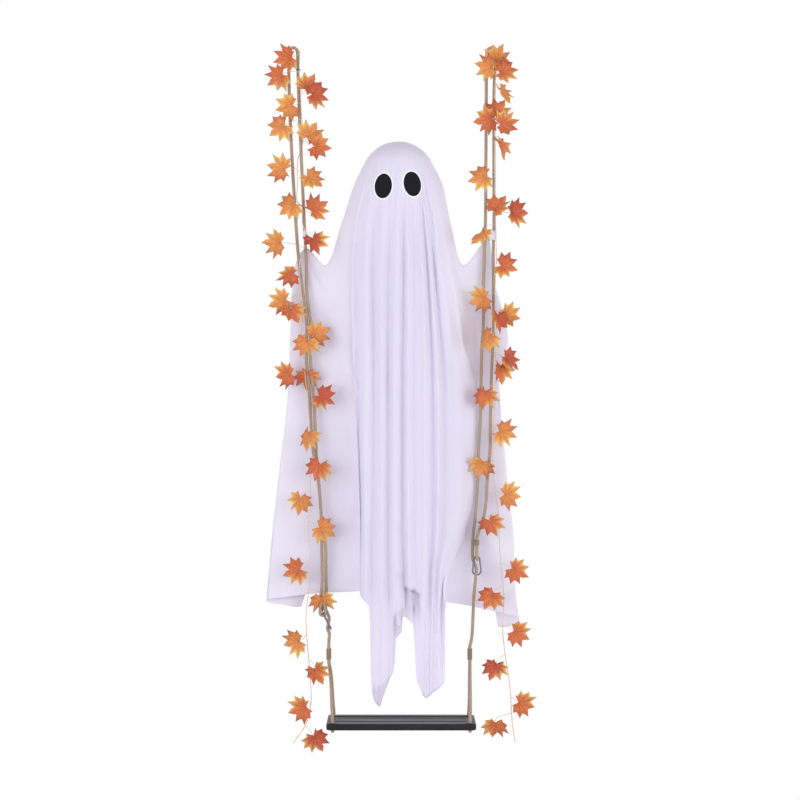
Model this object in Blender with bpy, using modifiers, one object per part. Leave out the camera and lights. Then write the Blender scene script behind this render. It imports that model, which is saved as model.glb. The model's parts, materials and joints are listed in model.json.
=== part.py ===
"""Hanging fabric ghost on a small rope swing, with two leaf garlands.

Metres, +Z up, the front faces -Y. The origin is midway between the tops of the
two rope loops that it hangs by. Lengths below are in millimetres and each mesh
is scaled to metres when it is finished.
"""
import math

import bmesh
import bpy
import numpy as np
from mathutils import Matrix, Vector
from mathutils.bvhtree import BVHTree

MM = 0.001
GAP = 0.3

# Ropes
ROPE_R = 4.5
STRAND_HALF = ROPE_R + GAP / 2
LOOP_LEFT_X = -248.0
LOOP_LEFT_R = 10.6
LOOP_RIGHT_X = 248.5
LOOP_RIGHT_R = 12.5
ROPE_SIDES = 8
BAND_ARC = 6

# Snap hooks: a pear ring, narrow end up, with the gate on its +w side
HOOK_WIRE_R = 2.0
HOOK_HALF = 23.0
HOOK_TOP_R = 7.0
HOOK_LOW_R = 10.5
HOOK_TOP_V = -HOOK_HALF + HOOK_TOP_R
HOOK_LOW_V = HOOK_HALF - HOOK_LOW_R
HINGE_V = -14.5
TONGUE_HALF_T = 0.7
TONGUE_R = 2.0
CHEEK_T = 0.9
RIVET_R = 0.8
RIVET_HEAD_R = 1.6
RIVET_HEAD_T = 0.6
LATCH_V = 9.6
LEFT_HOOK_AT = (-163.75, 0.0, -1437.0)
LEFT_HOOK_AXES = ((0.0, -1.0, 0.0), (0.4472, 0.0, -0.8944))
RIGHT_HOOK_AT = (211.0, 0.0, -1299.0)
RIGHT_HOOK_AXES = ((1.0, 0.0, 0.0), (0.0, 0.0, -1.0))
EYE_R = 7.0
LEFT_EYE_X = LEFT_HOOK_AT[0] - HOOK_HALF * LEFT_HOOK_AXES[1][0]
SPLICE_LOW = 27.0
SPLICE_TALL = 15.0
HOOK_PASS = [(-10.5, -26, 9.5), (-9.5, -14, 9.0), (-4.5, -3, 7.6), (-1.2, 7, 0.8),
             (-1.8, 14, -5), (-2.5, 21, -8.2), (-3, 30, -8.5)]

# Seat
SEAT_MID_X = 22.0
SEAT_LENGTH = 370.0
SEAT_DEPTH = 140.0
SEAT_THICK = 16.0
SEAT_TOP_Z = -1683.0
SEAT_CORNER_R = 12.0
SEAT_RIM = 14.0
SEAT_RECESS = 1.5
HOLE_Y = 52.0
HOLE_R = ROPE_R + 1.5
LEFT_HOLE_X = SEAT_MID_X - SEAT_LENGTH / 2 + 15.0
RIGHT_HOLE_X = SEAT_MID_X + SEAT_LENGTH / 2 - 14.5
LEG_TOP_Z = SEAT_TOP_Z + 183.0
WHIP_TOP_Z = LEG_TOP_Z - 6.0
WHIP_LOW_Z = WHIP_TOP_Z - 28.0
LEG_PART_Z = WHIP_LOW_Z - 3.0
LEG_MID_Z = LEG_PART_Z - 35.0
LEG_LOW_Z = SEAT_TOP_Z + 31.0
LEFT_LEG_X = -159.0
RIGHT_LEG_X = 193.5

# Head, post and arm wire
HEAD_AT = (15.0, 12.0, -332.0)
CLOTH_THICK = 1.2
HEAD_R = 90.7
HEAD_SLACK = 2.1
CLOTH_R = HEAD_R + CLOTH_THICK + HEAD_SLACK
DRAPE_R = 94.0
DRAPE_EVEN_Z = -548.0
POST_R = 9.0
POST_WALL = 2.0
POST_TOP_Z = -364.3
POST_LOW_Z = -640.0
WIRE_Z = POST_LOW_Z + 40.0
WIRE_R = 2.0

# The stations of the cloth were measured in the ropes' plane, from a point straight in front
EYE_LEVEL_X = 19.0
EYE_LEVEL_Z = -885.0
VIEW_FAR = 4500.0

# Cloth
FOLD_DEPTH = 13.0
FOLD_START_Z = -300.0
FOLD_FULL_Z = -560.0
FACE_HALF_X = 78.0
FACE_LOW_Z = -396.0

# Eyes
EYE_WIDE = 42.7
EYE_TALL = 61.4
EYE_THICK = 1.0
EYE_OFFSET = 0.8
LEFT_EYE = (-22.2, -358.6, 4.0)
RIGHT_EYE = (49.4, -353.7, -8.0)

# Garlands
STEM_R = 1.1
STALK_R = 0.7
LEAF_LENGTH = 72.0
LEAF_THICK = 1.1
LEAF_FOLD = 0.22
LEAF_HALF = [(0.55, 0.0), (0.15, 0.13), (0.27, 0.47), (0.02, 0.25), (-0.20, 0.47),
             (-0.24, 0.20), (-0.35, 0.0)]
LEAF_MID = -0.08

collection = None
cutters = None


def start():
    global collection, cutters
    for item in list(bpy.data.objects):
        bpy.data.objects.remove(item, do_unlink=True)
    collection = bpy.data.collections.new("hanging_ghost_swing")
    cutters = bpy.data.collections.new("cutters")
    bpy.context.scene.collection.children.link(collection)
    bpy.context.scene.collection.children.link(cutters)


# Materials
def material(name, colour, roughness, metallic=0.0):
    found = bpy.data.materials.get(name)
    if found:
        return found
    made = bpy.data.materials.new(name)
    made.use_nodes = True
    shader = made.node_tree.nodes["Principled BSDF"]
    shader.inputs["Base Color"].default_value = (*colour, 1.0)
    shader.inputs["Roughness"].default_value = roughness
    shader.inputs["Metallic"].default_value = metallic
    made.diffuse_color = (*colour, 1.0)
    return made


def cloth_white():
    return material("cloth_white", (0.80, 0.77, 0.91), 0.9)


def felt_black():
    return material("felt_black", (0.012, 0.011, 0.014), 0.95)


def jute():
    return material("jute", (0.50, 0.34, 0.17), 0.9)


def twine():
    return material("twine", (0.56, 0.42, 0.25), 0.9)


def steel():
    return material("steel", (0.55, 0.55, 0.56), 0.3, 1.0)


def wire_steel():
    return material("wire_steel", (0.45, 0.45, 0.46), 0.4, 1.0)


def seat_black():
    return material("seat_black", (0.02, 0.02, 0.023), 0.5)


def foam():
    return material("foam", (0.86, 0.86, 0.84), 0.9)


def post_grey():
    return material("post_grey", (0.6, 0.6, 0.62), 0.5)


def strap_clear():
    return material("strap_clear", (0.82, 0.82, 0.86), 0.35)


def leaf_orange():
    return material("leaf_orange", (0.75, 0.20, 0.03), 0.7)


# Mesh helpers
def link(name, mesh, shade, to=None):
    made = bpy.data.objects.new(name, mesh)
    (to or collection).objects.link(made)
    if shade:
        mesh.materials.clear()
        mesh.materials.append(shade)
    return made


def mesh_from(name, points, faces):
    mesh = bpy.data.meshes.new(name)
    mesh.from_pydata([tuple(float(c) for c in p) for p in points], [], faces)
    mesh.validate()
    mesh.update()
    return mesh


def to_metres(item, origin=(0.0, 0.0, 0.0)):
    item.data.transform(Matrix.Translation([-c for c in origin]))
    item.data.transform(Matrix.Scale(MM, 4))
    item.location = [c * MM for c in origin]
    return item


def bake(item):
    """Replace an object's mesh with the result of its modifiers."""
    bpy.context.view_layer.update()
    graph = bpy.context.evaluated_depsgraph_get()
    made = bpy.data.meshes.new_from_object(item.evaluated_get(graph))
    item.modifiers.clear()
    item.data = made
    return item


def combine(item, other, how):
    """Join or cut with one object or with a collection of objects."""
    step = item.modifiers.new("combine", "BOOLEAN")
    step.operation = how
    step.solver = "EXACT"
    if isinstance(other, bpy.types.Collection):
        step.operand_type = "COLLECTION"
        step.collection = other
    else:
        step.object = other
    bake(item)
    gone = list(other.objects) if isinstance(other, bpy.types.Collection) else [other]
    for piece in gone:
        bpy.data.objects.remove(piece, do_unlink=True)
    return item


def sweep(points, radius, sides, phase=0.0):
    """Closed tube along a route, as points and faces."""
    route = np.array(points, float)
    steps = np.diff(route, axis=0)
    steps /= np.linalg.norm(steps, axis=1)[:, None]
    tangents = np.vstack([steps[:1], steps[:-1] + steps[1:], steps[-1:]])
    tangents /= np.linalg.norm(tangents, axis=1)[:, None]
    side = np.cross(tangents[0], (0.0, 1.0, 0.0))
    if np.linalg.norm(side) < 0.3:
        side = np.cross(tangents[0], (1.0, 0.0, 0.0))
    verts, faces = [], []
    for place, along in zip(route, tangents):
        side = side - along * np.dot(side, along)
        side /= np.linalg.norm(side)
        other = np.cross(along, side)
        for k in range(sides):
            turn = 2 * math.pi * (k + phase) / sides
            verts.append(place + radius * (math.cos(turn) * side + math.sin(turn) * other))
    for j in range(len(route) - 1):
        for k in range(sides):
            a = j * sides + k
            b = j * sides + (k + 1) % sides
            faces.append((a, b, b + sides, a + sides))
    faces.append(tuple(reversed(range(sides))))
    last = (len(route) - 1) * sides
    faces.append(tuple(range(last, last + sides)))
    return verts, faces


def tube(name, points, radius, sides, shade, to=None):
    verts, faces = sweep(points, radius, sides)
    return link(name, mesh_from(name, verts, faces), shade, to)


def lathe(name, profile, sides, shade, to=None):
    """Solid of revolution about Z from a closed (radius, z) outline."""
    verts, faces, rings = [], [], []
    for radius, z in profile:
        if radius < 1e-6:
            rings.append([len(verts)])
            verts.append((0.0, 0.0, z))
            continue
        rings.append(list(range(len(verts), len(verts) + sides)))
        for k in range(sides):
            turn = 2 * math.pi * k / sides
            verts.append((radius * math.cos(turn), radius * math.sin(turn), z))
    for j in range(len(rings)):
        low, high = rings[j], rings[(j + 1) % len(rings)]
        if len(low) == 1 and len(high) == 1:
            continue
        for k in range(sides):
            n = (k + 1) % sides
            if len(low) == 1:
                faces.append((low[0], high[n], high[k]))
            elif len(high) == 1:
                faces.append((low[k], low[n], high[0]))
            else:
                faces.append((low[k], low[n], high[n], high[k]))
    return link(name, mesh_from(name, verts, faces), shade, to)


def stadium(half, radius, arc=BAND_ARC):
    """Outline of two half circles, spaced along its own y."""
    ring = []
    for k in range(arc + 1):
        turn = math.pi * k / arc
        ring.append((radius * math.cos(turn), half + radius * math.sin(turn)))
    for k in range(arc + 1):
        turn = math.pi + math.pi * k / arc
        ring.append((radius * math.cos(turn), -half + radius * math.sin(turn)))
    return ring


def band(name, centre, half, inner, wall, low, high, shade, turn_z=0.0, lean_y=0.0):
    """Oblong ring around one or two strands, along its own z."""
    rings = []
    inner /= math.cos(math.pi / (2 * BAND_ARC))
    for z in (low, high):
        rings.append([(x, y, z) for x, y in stadium(half, inner)])
        rings.append([(x, y, z) for x, y in stadium(half, inner + wall)])
    count = len(rings[0])
    verts = [p for ring in rings for p in ring]
    faces = []
    for k in range(count):
        n = (k + 1) % count
        in_low, out_low, in_up, out_up = (j * count for j in range(4))
        faces.append((in_low + n, in_low + k, in_up + k, in_up + n))
        faces.append((out_low + k, out_low + n, out_up + n, out_up + k))
        faces.append((in_low + k, in_low + n, out_low + n, out_low + k))
        faces.append((in_up + n, in_up + k, out_up + k, out_up + n))
    mesh = mesh_from(name, verts, faces)
    mesh.transform(Matrix.Rotation(math.radians(turn_z), 4, "Z"))
    mesh.transform(Matrix.Rotation(math.radians(lean_y), 4, "Y"))
    mesh.transform(Matrix.Translation(centre))
    return link(name, mesh, shade)


def arc(centre, radius, start, end, count):
    return [(centre[0] + radius * math.cos(math.radians(start + (end - start) * k / count)),
             centre[1] + radius * math.sin(math.radians(start + (end - start) * k / count)))
            for k in range(count + 1)]


# Cloth. Each drape line runs from the crown to the hem as (x, y, z) stations.
FACE_Z = [-315, -345, -440, -548, -640, -690, -740, -800, -880, -1060, -1230, -1320]


def down(flat, hem):
    return [(x, y, z) for (x, y), z in zip(flat, FACE_Z)] + [hem]


DRAPE_LINES = [
    (-180, down([(15, 105), (15, 106), (14, 107), (13, 108), (13, 108), (12, 109), (12, 109),
                 (12, 110), (12, 110), (12, 111), (12, 112), (12, 112)], (12, 112, -1345))),
    (-145, down([(-40, 88), (-49, 90), (-60, 92), (-75, 94), (-82, 95), (-86, 96), (-90, 96),
                 (-95, 97), (-100, 98), (-108, 99), (-115, 100), (-118, 100)], (-120, 100, -1350))),
    (-112, [(-74, 45, -315), (-86, 47, -345), (-115, 50, -440), (-140, 45, -548),
            (-175, 40, -600), (-200, 44, -640), (-203, 47, -700), (-205, 50, -780),
            (-208, 52, -880), (-215, 55, -1060), (-225, 58, -1230), (-232, 59, -1300),
            (-238, 60, -1350)]),
    (-90, [(-82, 12, -315), (-95, 12, -345), (-126, 12, -440), (-168, 13, -548),
           (-216, 16, -505), (-241, 20, -540), (-251, 24, -600), (-256, 27, -720),
           (-261, 30, -860), (-283, 34, -1060), (-302, 38, -1230), (-310, 39, -1320),
           (-315, 40, -1384)]),
    (-75, down([(-78, -12), (-90, -12), (-120, -14), (-140, -6), (-165, 8), (-170, 12),
                (-175, 16), (-177, 19), (-178, 22), (-180, 26), (-182, 28), (-183, 29)],
               (-185, 30, -1368))),
    (-62, down([(-74, -32), (-81, -32), (-105, -34), (-118, -30), (-120, -25), (-117, -20),
                (-115, -15), (-108, -10), (-100, -5), (-76, 4), (-70, 8), (-70, 9)],
               (-70, 10, -1362))),
    (-52, down([(-62, -42), (-71, -46), (-92, -50), (-100, -55), (-100, -60), (-99, -63),
                (-98, -66), (-96, -69), (-92, -72), (-85, -76), (-81, -78), (-81, -78)],
               (-81, -78, -1367))),
    (-28, down([(-29, -70), (-30, -70), (-36, -74), (-40, -78), (-39, -81), (-39, -83),
                (-38, -84), (-38, -86), (-38, -87), (-38, -89), (-40, -90), (-41, -91)],
               (-44, -92, -1612))),
    (0, down([(15, -81.5), (15, -82), (14, -84), (13, -86), (12, -88), (12, -89), (11, -90),
              (10, -91), (10, -92), (10, -94), (10, -95), (12, -95)], (15, -96, -1470))),
    (28, down([(59, -70), (60, -70.5), (64, -75), (70, -79), (73, -82), (74, -83), (75, -84),
               (75, -86), (75, -87), (75, -90), (76, -90), (76, -90)], (76, -90, -1615))),
    (42, down([(78, -58), (80, -58), (95, -62), (108, -66), (118, -66), (122, -65), (127, -64),
               (132, -63), (137, -62), (137, -60), (128, -64), (114, -72)], (104, -80, -1604))),
    (56, down([(92, -40), (105, -41), (122, -48), (140, -45), (160, -40), (168, -37),
               (175, -34), (194, -12), (212, 14), (212, 14), (180, 2), (148, -28)],
              (130, -70, -1580))),
    (66, down([(100, -26), (112, -30), (133, -32), (150, -28), (172, -20), (180, -14),
               (186, -6), (192, 10), (196, 23), (196, 24), (150, 18), (125, 12)],
              (118, 10, -1387))),
    (77, down([(106, -10), (119, -12), (142, -14), (158, -6), (190, 6), (203, 12), (214, 17),
               (224, 21), (235, 25), (240, 27), (235, 30), (222, 31)], (205, 30, -1402))),
    (90, [(112, 12, -315), (125, 12, -345), (145, 12, -440), (179, 13, -549), (241, 16, -475),
          (254, 21, -580), (273, 23, -650), (291, 26, -738), (268, 26, -845),
          (286, 31, -1060), (305, 35, -1250), (308, 35, -1350), (317, 36, -1429)]),
    (112, [(104, 45, -315), (116, 47, -345), (140, 50, -440), (165, 45, -548), (195, 40, -600),
           (212, 44, -640), (220, 47, -700), (226, 50, -780), (232, 52, -880),
           (240, 55, -1060), (248, 58, -1230), (252, 59, -1300), (255, 60, -1360)]),
    (145, down([(70, 88), (79, 90), (90, 92), (105, 94), (112, 95), (117, 96), (122, 96),
                (127, 97), (133, 98), (140, 99), (147, 100), (150, 100)], (152, 100, -1350))),
]
HEM_FRONT = [(-400, -1384), (-81, -1367), (-57, -1401), (-53, -1600), (-33, -1653),
             (-5, -1578), (5, -1559), (8, -1482), (24, -1465), (26, -1427), (53, -1445),
             (60, -1582), (84, -1633), (128, -1580), (131, -1575), (400, -1400)]
VALLEYS = [0.17, 0.84, 1.61, 2.28, 2.75, 3.47, 3.90]
DOME_ANGLES = [13, 26, 38, 50, 61, 71]
ROW_STATIONS = [0, 1, 1.5, 2, 2.5, 3, 3.5, 4, 5, 6, 7, 8, 8.6, 9, 9.5, 10, 11, 12]
EDGE_L_LINE = 6
EDGE_R_LINE = 11


def slopes(knots, values, periodic):
    """Monotone cubic slopes, so that the surface never overshoots a station."""
    count = len(knots)
    slope = np.zeros_like(values)
    if periodic:
        gaps = np.diff(np.append(knots, knots[0] + 360.0))
        rises = (np.roll(values, -1, axis=0) - values) / gaps[:, None]
        before, after = np.roll(rises, 1, axis=0), rises
        wide, near = np.roll(gaps, 1), gaps
    else:
        gaps = np.diff(knots)
        rises = np.diff(values, axis=0) / gaps[:, None]
        before = np.vstack([rises[:1], rises])
        after = np.vstack([rises, rises[-1:]])
        wide = np.append(gaps[:1], gaps)
        near = np.append(gaps, gaps[-1:])
    for j in range(count):
        for c in range(values.shape[1]):
            p, q = before[j, c], after[j, c]
            if p * q > 0:
                one, two = 2 * near[j] + wide[j], near[j] + 2 * wide[j]
                slope[j, c] = (one + two) / (one / p + two / q)
    return slope


def hermite(a, b, at_a, at_b, width, t):
    return ((1 + 2 * t) * (1 - t) ** 2 * a + t * (1 - t) ** 2 * width * at_a
            + t * t * (3 - 2 * t) * b + t * t * (t - 1) * width * at_b)


def station_knots():
    return np.array([*(-z for z in FACE_Z), 1500.0])


def fit_to_head(point):
    """Widen the upper stations with the ball, and leave those below the shoulders."""
    x, y, z = point
    top = HEAD_AT[2] + DRAPE_R * 0.18
    part = min(1.0, max(0.0, (z - DRAPE_EVEN_Z) / (top - DRAPE_EVEN_Z)))
    grow = 1 + (CLOTH_R / DRAPE_R - 1) * part
    return (HEAD_AT[0] + (x - HEAD_AT[0]) * grow, HEAD_AT[1] + (y - HEAD_AT[1]) * grow, z)


def to_depth(point):
    """Bring a station from the ropes' plane to its own depth."""
    x, y, z = point
    k = 1 + y / VIEW_FAR
    return (EYE_LEVEL_X + (x - EYE_LEVEL_X) * k, y, EYE_LEVEL_Z + (z - EYE_LEVEL_Z) * k)


def hem_height(x, y):
    """Height of the front hem at a place across."""
    k = 1 + y / VIEW_FAR
    flat = EYE_LEVEL_X + (x - EYE_LEVEL_X) / k
    level = float(np.interp(flat, [h[0] for h in HEM_FRONT], [h[1] for h in HEM_FRONT]))
    return EYE_LEVEL_Z + (level - EYE_LEVEL_Z) * k


def line_points(rows):
    """Points of every drape line at each row station."""
    knots = station_knots()
    lines = []
    for _, stations in DRAPE_LINES:
        values = np.array([to_depth(fit_to_head(p)) for p in stations], float)
        slope = slopes(knots, values, False)
        found = []
        for row in rows:
            j = min(int(row), len(knots) - 2)
            t = row - j
            found.append(hermite(values[j], values[j + 1], slope[j], slope[j + 1],
                                 knots[j + 1] - knots[j], t))
        lines.append(found)
    return np.array(lines)


def column_places():
    """Angles of the columns: each fold gets a crest between its valleys."""
    angles = [line[0] for line in DRAPE_LINES]
    marks = [EDGE_L_LINE + v for v in [-0.35] + VALLEYS + [4.97]]
    front = []
    for a, b in zip(marks, marks[1:]):
        front += [a + (b - a) * s for s in (0.0, 0.22, 0.5, 0.78)]
    front.append(marks[-1])
    sides = [0, 0.5, 1, 1.5, 2, 2.4, 2.8, 3, 3.2, 3.6, 4, 4.33, 4.67, 5, 5.3]
    after = [11.3, 11.6, 12, 12.33, 12.67, 13, 13.4, 13.8, 14, 14.2, 14.6, 15, 15.5, 16, 16.5]
    places = sides + front + after
    wrapped = angles + [180.0]
    result = []
    for place in places:
        j = min(int(place), len(angles) - 1)
        t = place - j
        result.append((place, wrapped[j] + (wrapped[j + 1] - wrapped[j]) * t))
    return result


def fold(place, z, x):
    """How far the pleat stands out of the drape, with round crests and sharp valleys."""
    s = place - EDGE_L_LINE
    if s < -0.35 or s > 4.97:
        return 0.0
    marks = [-0.35] + VALLEYS + [4.97]
    for a, b in zip(marks, marks[1:]):
        if a <= s <= b:
            wave = math.sin(math.pi * (s - a) / (b - a)) - 0.64
            break
    edge = min(1.0, (s + 0.35) / 0.5, (4.97 - s) / 0.6)
    grow = min(1.0, max(0.0, (FOLD_START_Z - z) / (FOLD_START_Z - FOLD_FULL_Z)))
    grow = grow * grow * (3 - 2 * grow)
    side = max(0.0, 1 - ((x - HEAD_AT[0]) / FACE_HALF_X) ** 4)
    above = min(1.0, max(0.0, (z - FACE_LOW_Z + 25) / 25))
    grow *= 1 - side * above
    return FOLD_DEPTH * grow * wave * max(0.0, edge)


def cloth_grid(places, rows):
    angles = np.array([line[0] for line in DRAPE_LINES], float)
    lines = line_points(rows)
    grid = []
    for theta in DOME_ANGLES:
        ring = []
        for _, turn in places:
            level = math.radians(theta)
            around = math.radians(turn)
            ring.append((HEAD_AT[0] + CLOTH_R * math.sin(level) * math.sin(around),
                         HEAD_AT[1] - CLOTH_R * math.sin(level) * math.cos(around),
                         HEAD_AT[2] + CLOTH_R * math.cos(level)))
        grid.append(ring)
    for index, row in enumerate(rows):
        values = lines[:, index]
        slope = slopes(angles, values, True)
        ring = []
        for place, turn in places:
            j = min(int(place + 1e-9), len(angles) - 1)
            n = (j + 1) % len(angles)
            width = (angles[n] - angles[j]) % 360.0
            point = hermite(values[j], values[n], slope[j], slope[n], width, place - j)
            x, y, z = (float(c) for c in point)
            if row == rows[-1] and EDGE_L_LINE <= place <= EDGE_R_LINE:
                z = hem_height(x, y)
            y -= fold(place, z, x)
            ring.append((x, y, z))
        grid.append(ring)
    return grid


def cloth():
    """One sheet over the head and both hands, open below."""
    places = column_places()
    grid = cloth_grid(places, ROW_STATIONS)
    count = len(places)
    verts = [(HEAD_AT[0], HEAD_AT[1], HEAD_AT[2] + CLOTH_R)]
    for ring in grid:
        verts += ring
    faces = [(0, 1 + k, 1 + (k + 1) % count) for k in range(count)]
    for j in range(len(grid) - 1):
        for k in range(count):
            a = 1 + j * count + k
            b = 1 + j * count + (k + 1) % count
            faces.append((a, a + count, b + count, b))
    made = link("ghost_cloth", mesh_from("ghost_cloth", verts, faces), cloth_white())
    step = made.modifiers.new("thickness", "SOLIDIFY")
    step.thickness = CLOTH_THICK
    step.offset = -1.0
    step.use_even_offset = False
    return bake(made)


# Head, post and arm wire
def head():
    """Foam ball with a blind socket from below."""
    profile = []
    hole = POST_R + GAP
    start_at = math.asin(hole / HEAD_R)
    for k in range(12):
        turn = math.pi - start_at - (math.pi - start_at) * k / 11
        profile.append((HEAD_R * math.sin(turn) if k < 11 else 0.0, HEAD_R * math.cos(turn)))
    roof = POST_TOP_Z + GAP - HEAD_AT[2]
    profile += [(0.0, roof), (hole, roof)]
    made = lathe("ghost_head", profile, 20, foam())
    made.data.transform(Matrix.Translation(HEAD_AT))
    return made


def post():
    inner = POST_R - POST_WALL
    made = lathe("neck_post", [(POST_R, POST_LOW_Z), (POST_R, POST_TOP_Z), (inner, POST_TOP_Z),
                               (inner, POST_LOW_Z)], 16, post_grey())
    made.data.transform(Matrix.Translation((HEAD_AT[0], HEAD_AT[1], 0)))
    hole = tube("wire_hole", [(HEAD_AT[0] - 20, HEAD_AT[1], WIRE_Z),
                              (HEAD_AT[0] + 20, HEAD_AT[1], WIRE_Z)],
                WIRE_R + GAP, 12, None, cutters)
    return combine(made, hole, "DIFFERENCE")


def arm_wire():
    y = HEAD_AT[1]
    route = [(-199, 22, -550), (-192, 23, -566), (-172, 22, -588),
             (-150, 18, -597), (-120, y, WIRE_Z), (14, y, WIRE_Z), (130, y, WIRE_Z),
             (165, 18, -597), (190, 21, -582), (208, 22, -560), (218, 22, -540)]
    return tube("arm_wire", route, WIRE_R, 8, wire_steel())


# Eyes
def eye(name, place, target):
    """Thin oval patch that follows the cloth."""
    x0, z0, lean = place
    tree = BVHTree.FromPolygons([v.co for v in target.data.vertices],
                                [tuple(p.vertices) for p in target.data.polygons])
    turn = math.radians(lean)
    flat = [(0.0, 0.0)]
    around = 20
    for part in (0.36, 0.7, 1.0):
        for k in range(around):
            a = 2 * math.pi * k / around
            flat.append((part * EYE_WIDE / 2 * math.cos(a), part * EYE_TALL / 2 * math.sin(a)))
    front, back = [], []
    for u, v in flat:
        x = x0 + u * math.cos(turn) + v * math.sin(turn)
        z = z0 - u * math.sin(turn) + v * math.cos(turn)
        hit = tree.ray_cast(Vector((x, -300.0, z)), Vector((0.0, 1.0, 0.0)))
        y = hit[0].y - EYE_OFFSET
        back.append((x, y, z))
        front.append((x, y - EYE_THICK, z))
    count = len(flat)
    faces = []
    for layer, flip in ((0, True), (count, False)):
        for k in range(around):
            n = (k + 1) % around
            faces.append((layer, layer + 1 + k, layer + 1 + n))
            for ring in range(2):
                a = layer + 1 + ring * around
                faces.append((a + k, a + around + k, a + around + n, a + n))
    rim = 1 + 2 * around
    for k in range(around):
        n = (k + 1) % around
        faces.append((rim + k, rim + n, count + rim + n, count + rim + k))
    made = link(name, mesh_from(name, back + front, faces), felt_black())
    return made


# Ropes
def hook_frame(at, axes):
    wide, along = Vector(axes[0]), Vector(axes[1])
    across = wide.cross(along)
    turn = Matrix((wide, along, across)).transposed().to_4x4()
    return Matrix.Translation(at) @ turn


def hook_pass(at, axes):
    frame = hook_frame(at, axes)
    return [tuple(frame @ Vector(p)) for p in HOOK_PASS]


def loop(centre_x, radius, sign):
    """Top loop from the outer strand over to the inner one."""
    top = -ROPE_R - radius
    flat = arc((0.0, top), radius, 180, 0, 10)
    return [(centre_x - sign * x, 0.0, z) for x, z in flat]


def under_seat(x):
    """Down the front hole, under the seat and up the rear hole."""
    low = SEAT_TOP_Z - SEAT_THICK
    side = [(-HOLE_Y + 3.5, SEAT_TOP_Z + 11), (-HOLE_Y + 0.5, SEAT_TOP_Z - 1),
            (-HOLE_Y, SEAT_TOP_Z - 7), (-HOLE_Y, low + 2), (-HOLE_Y + 1, low - 2),
            (-HOLE_Y + 4, low - 5.3), (-HOLE_Y + 8, low - 5.2),
            (-HOLE_Y + 14, low - ROPE_R - GAP)]
    return [(x, y, z) for y, z in side] + [(x, -y, z) for y, z in reversed(side)]


def legs(top_x, mid_x, low_x, hole_x):
    """From the whipping down one leg, under the seat and up the other."""
    s = STRAND_HALF
    front = [(top_x, -s, LEG_TOP_Z - 3), (top_x, -s, LEG_PART_Z), (mid_x, -16, LEG_MID_Z),
             (low_x, -42, LEG_LOW_Z)]
    rear = [(x, -y, z) for x, y, z in reversed(front[1:])] + [(top_x, s, LEG_TOP_Z)]
    return front + under_seat(hole_x) + rear


def left_rope_route():
    eye_x, eye_z = LEFT_EYE_X, LEFT_HOOK_AT[2] - HOOK_HALF * LEFT_HOOK_AXES[1][2]
    s = STRAND_HALF
    route = [(-168.6, -1.5, -1362), (-169.2, 0, -1374), (eye_x + s, 0, -1390)]
    turn = arc((0.0, 0.0), EYE_R, 0, -180, 8)
    route += [(eye_x + x, 0, eye_z + z) for x, z in turn]
    route += [(eye_x - s, 0, -1390), (eye_x - s, 0, -1372), (-176, -2, -1348),
              (-176.2, 0, -1290), (-176.8, 0, -1252), (-178, -4.8, -1172), (-183, -4.8, -1107),
              (-197.4, -3.6, -1012), (-202.3, 0, -960), (-206.8, 0, -875), (-214.8, 0, -780),
              (-213.6, 0, -700), (-223, 0, -625), (-232.5, 0, -550), (-241, 0, -447),
              (-257.5, 0, -135)]
    route += loop(LOOP_LEFT_X, LOOP_LEFT_R, -1)
    route += [(-233.75, 0, -135), (-220, 0, -447), (-214.75, 0, -550), (-213.5, 0, -625),
              (-204, 0, -700), (-205.2, 0, -780), (-197.2, 0, -875), (-192.7, 0, -960),
              (-190.6, 3.6, -1012), (-183, 4.8, -1107), (-178, 4.8, -1172),
              (-167.2, 0, -1252), (-166.6, 0, -1290), (-166.2, 3, -1325), (-166.2, 9, -1352),
              (-166.5, 10.5, -1380)]
    route += hook_pass(LEFT_HOOK_AT, LEFT_HOOK_AXES)
    x = LEFT_LEG_X
    route += [(x + 0.4, 0, LEG_TOP_Z + 15)]
    return route + legs(x, x + 5, LEFT_HOLE_X - 1.5, LEFT_HOLE_X)


def right_rope_route():
    eye_x, eye_z = RIGHT_HOOK_AT[0], RIGHT_HOOK_AT[2] + HOOK_HALF
    s = STRAND_HALF
    route = [(214, s, -1220), (eye_x, s, -1232), (eye_x, s, eye_z + 26)]
    turn = arc((0.0, 0.0), EYE_R, 0, -180, 8)
    route += [(eye_x, y, eye_z + z) for y, z in turn]
    route += [(eye_x, -s, eye_z + 26), (eye_x, -s, -1233), (216, -s, -1212), (226, -4, -1187),
              (233.75, -2, -1140), (237, -1, -1090), (243.75, 0, -1012), (245, 0, -937),
              (248, 0, -810), (253, 0, -682), (252, 0, -525), (254, 0, -440), (255, 0, -85)]
    route += loop(LOOP_RIGHT_X, LOOP_RIGHT_R, 1)
    route += [(232.5, 0, -440), (230, 0, -525), (228, 0, -590), (227.5, 0, -682),
              (222.75, 0, -780), (219.75, 0, -937), (216, 0, -997), (213, 0, -1092),
              (206, 5, -1187), (201.5, 9, -1228), (200.5, 9.5, -1255)]
    route += hook_pass(RIGHT_HOOK_AT, RIGHT_HOOK_AXES)
    route += [(203.5, -5, -1372), (202, -1, -1412), (198.75, -3, LEG_TOP_Z + 25)]
    x = RIGHT_LEG_X
    return route + legs(x, x, RIGHT_HOLE_X + 0.9, RIGHT_HOLE_X)


def whipping(name, x, y, half, low, high, turn_z):
    return band(name, (x, y, 0), half, ROPE_R + GAP, 1.2, low, high, twine(), turn_z)


# Snap hooks
def hook_w(v):
    """Sideways place of the straight side of the ring at height v."""
    rise = (v - HOOK_TOP_V) / (HOOK_LOW_V - HOOK_TOP_V)
    return HOOK_TOP_R + (HOOK_LOW_R - HOOK_TOP_R) * rise


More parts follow.
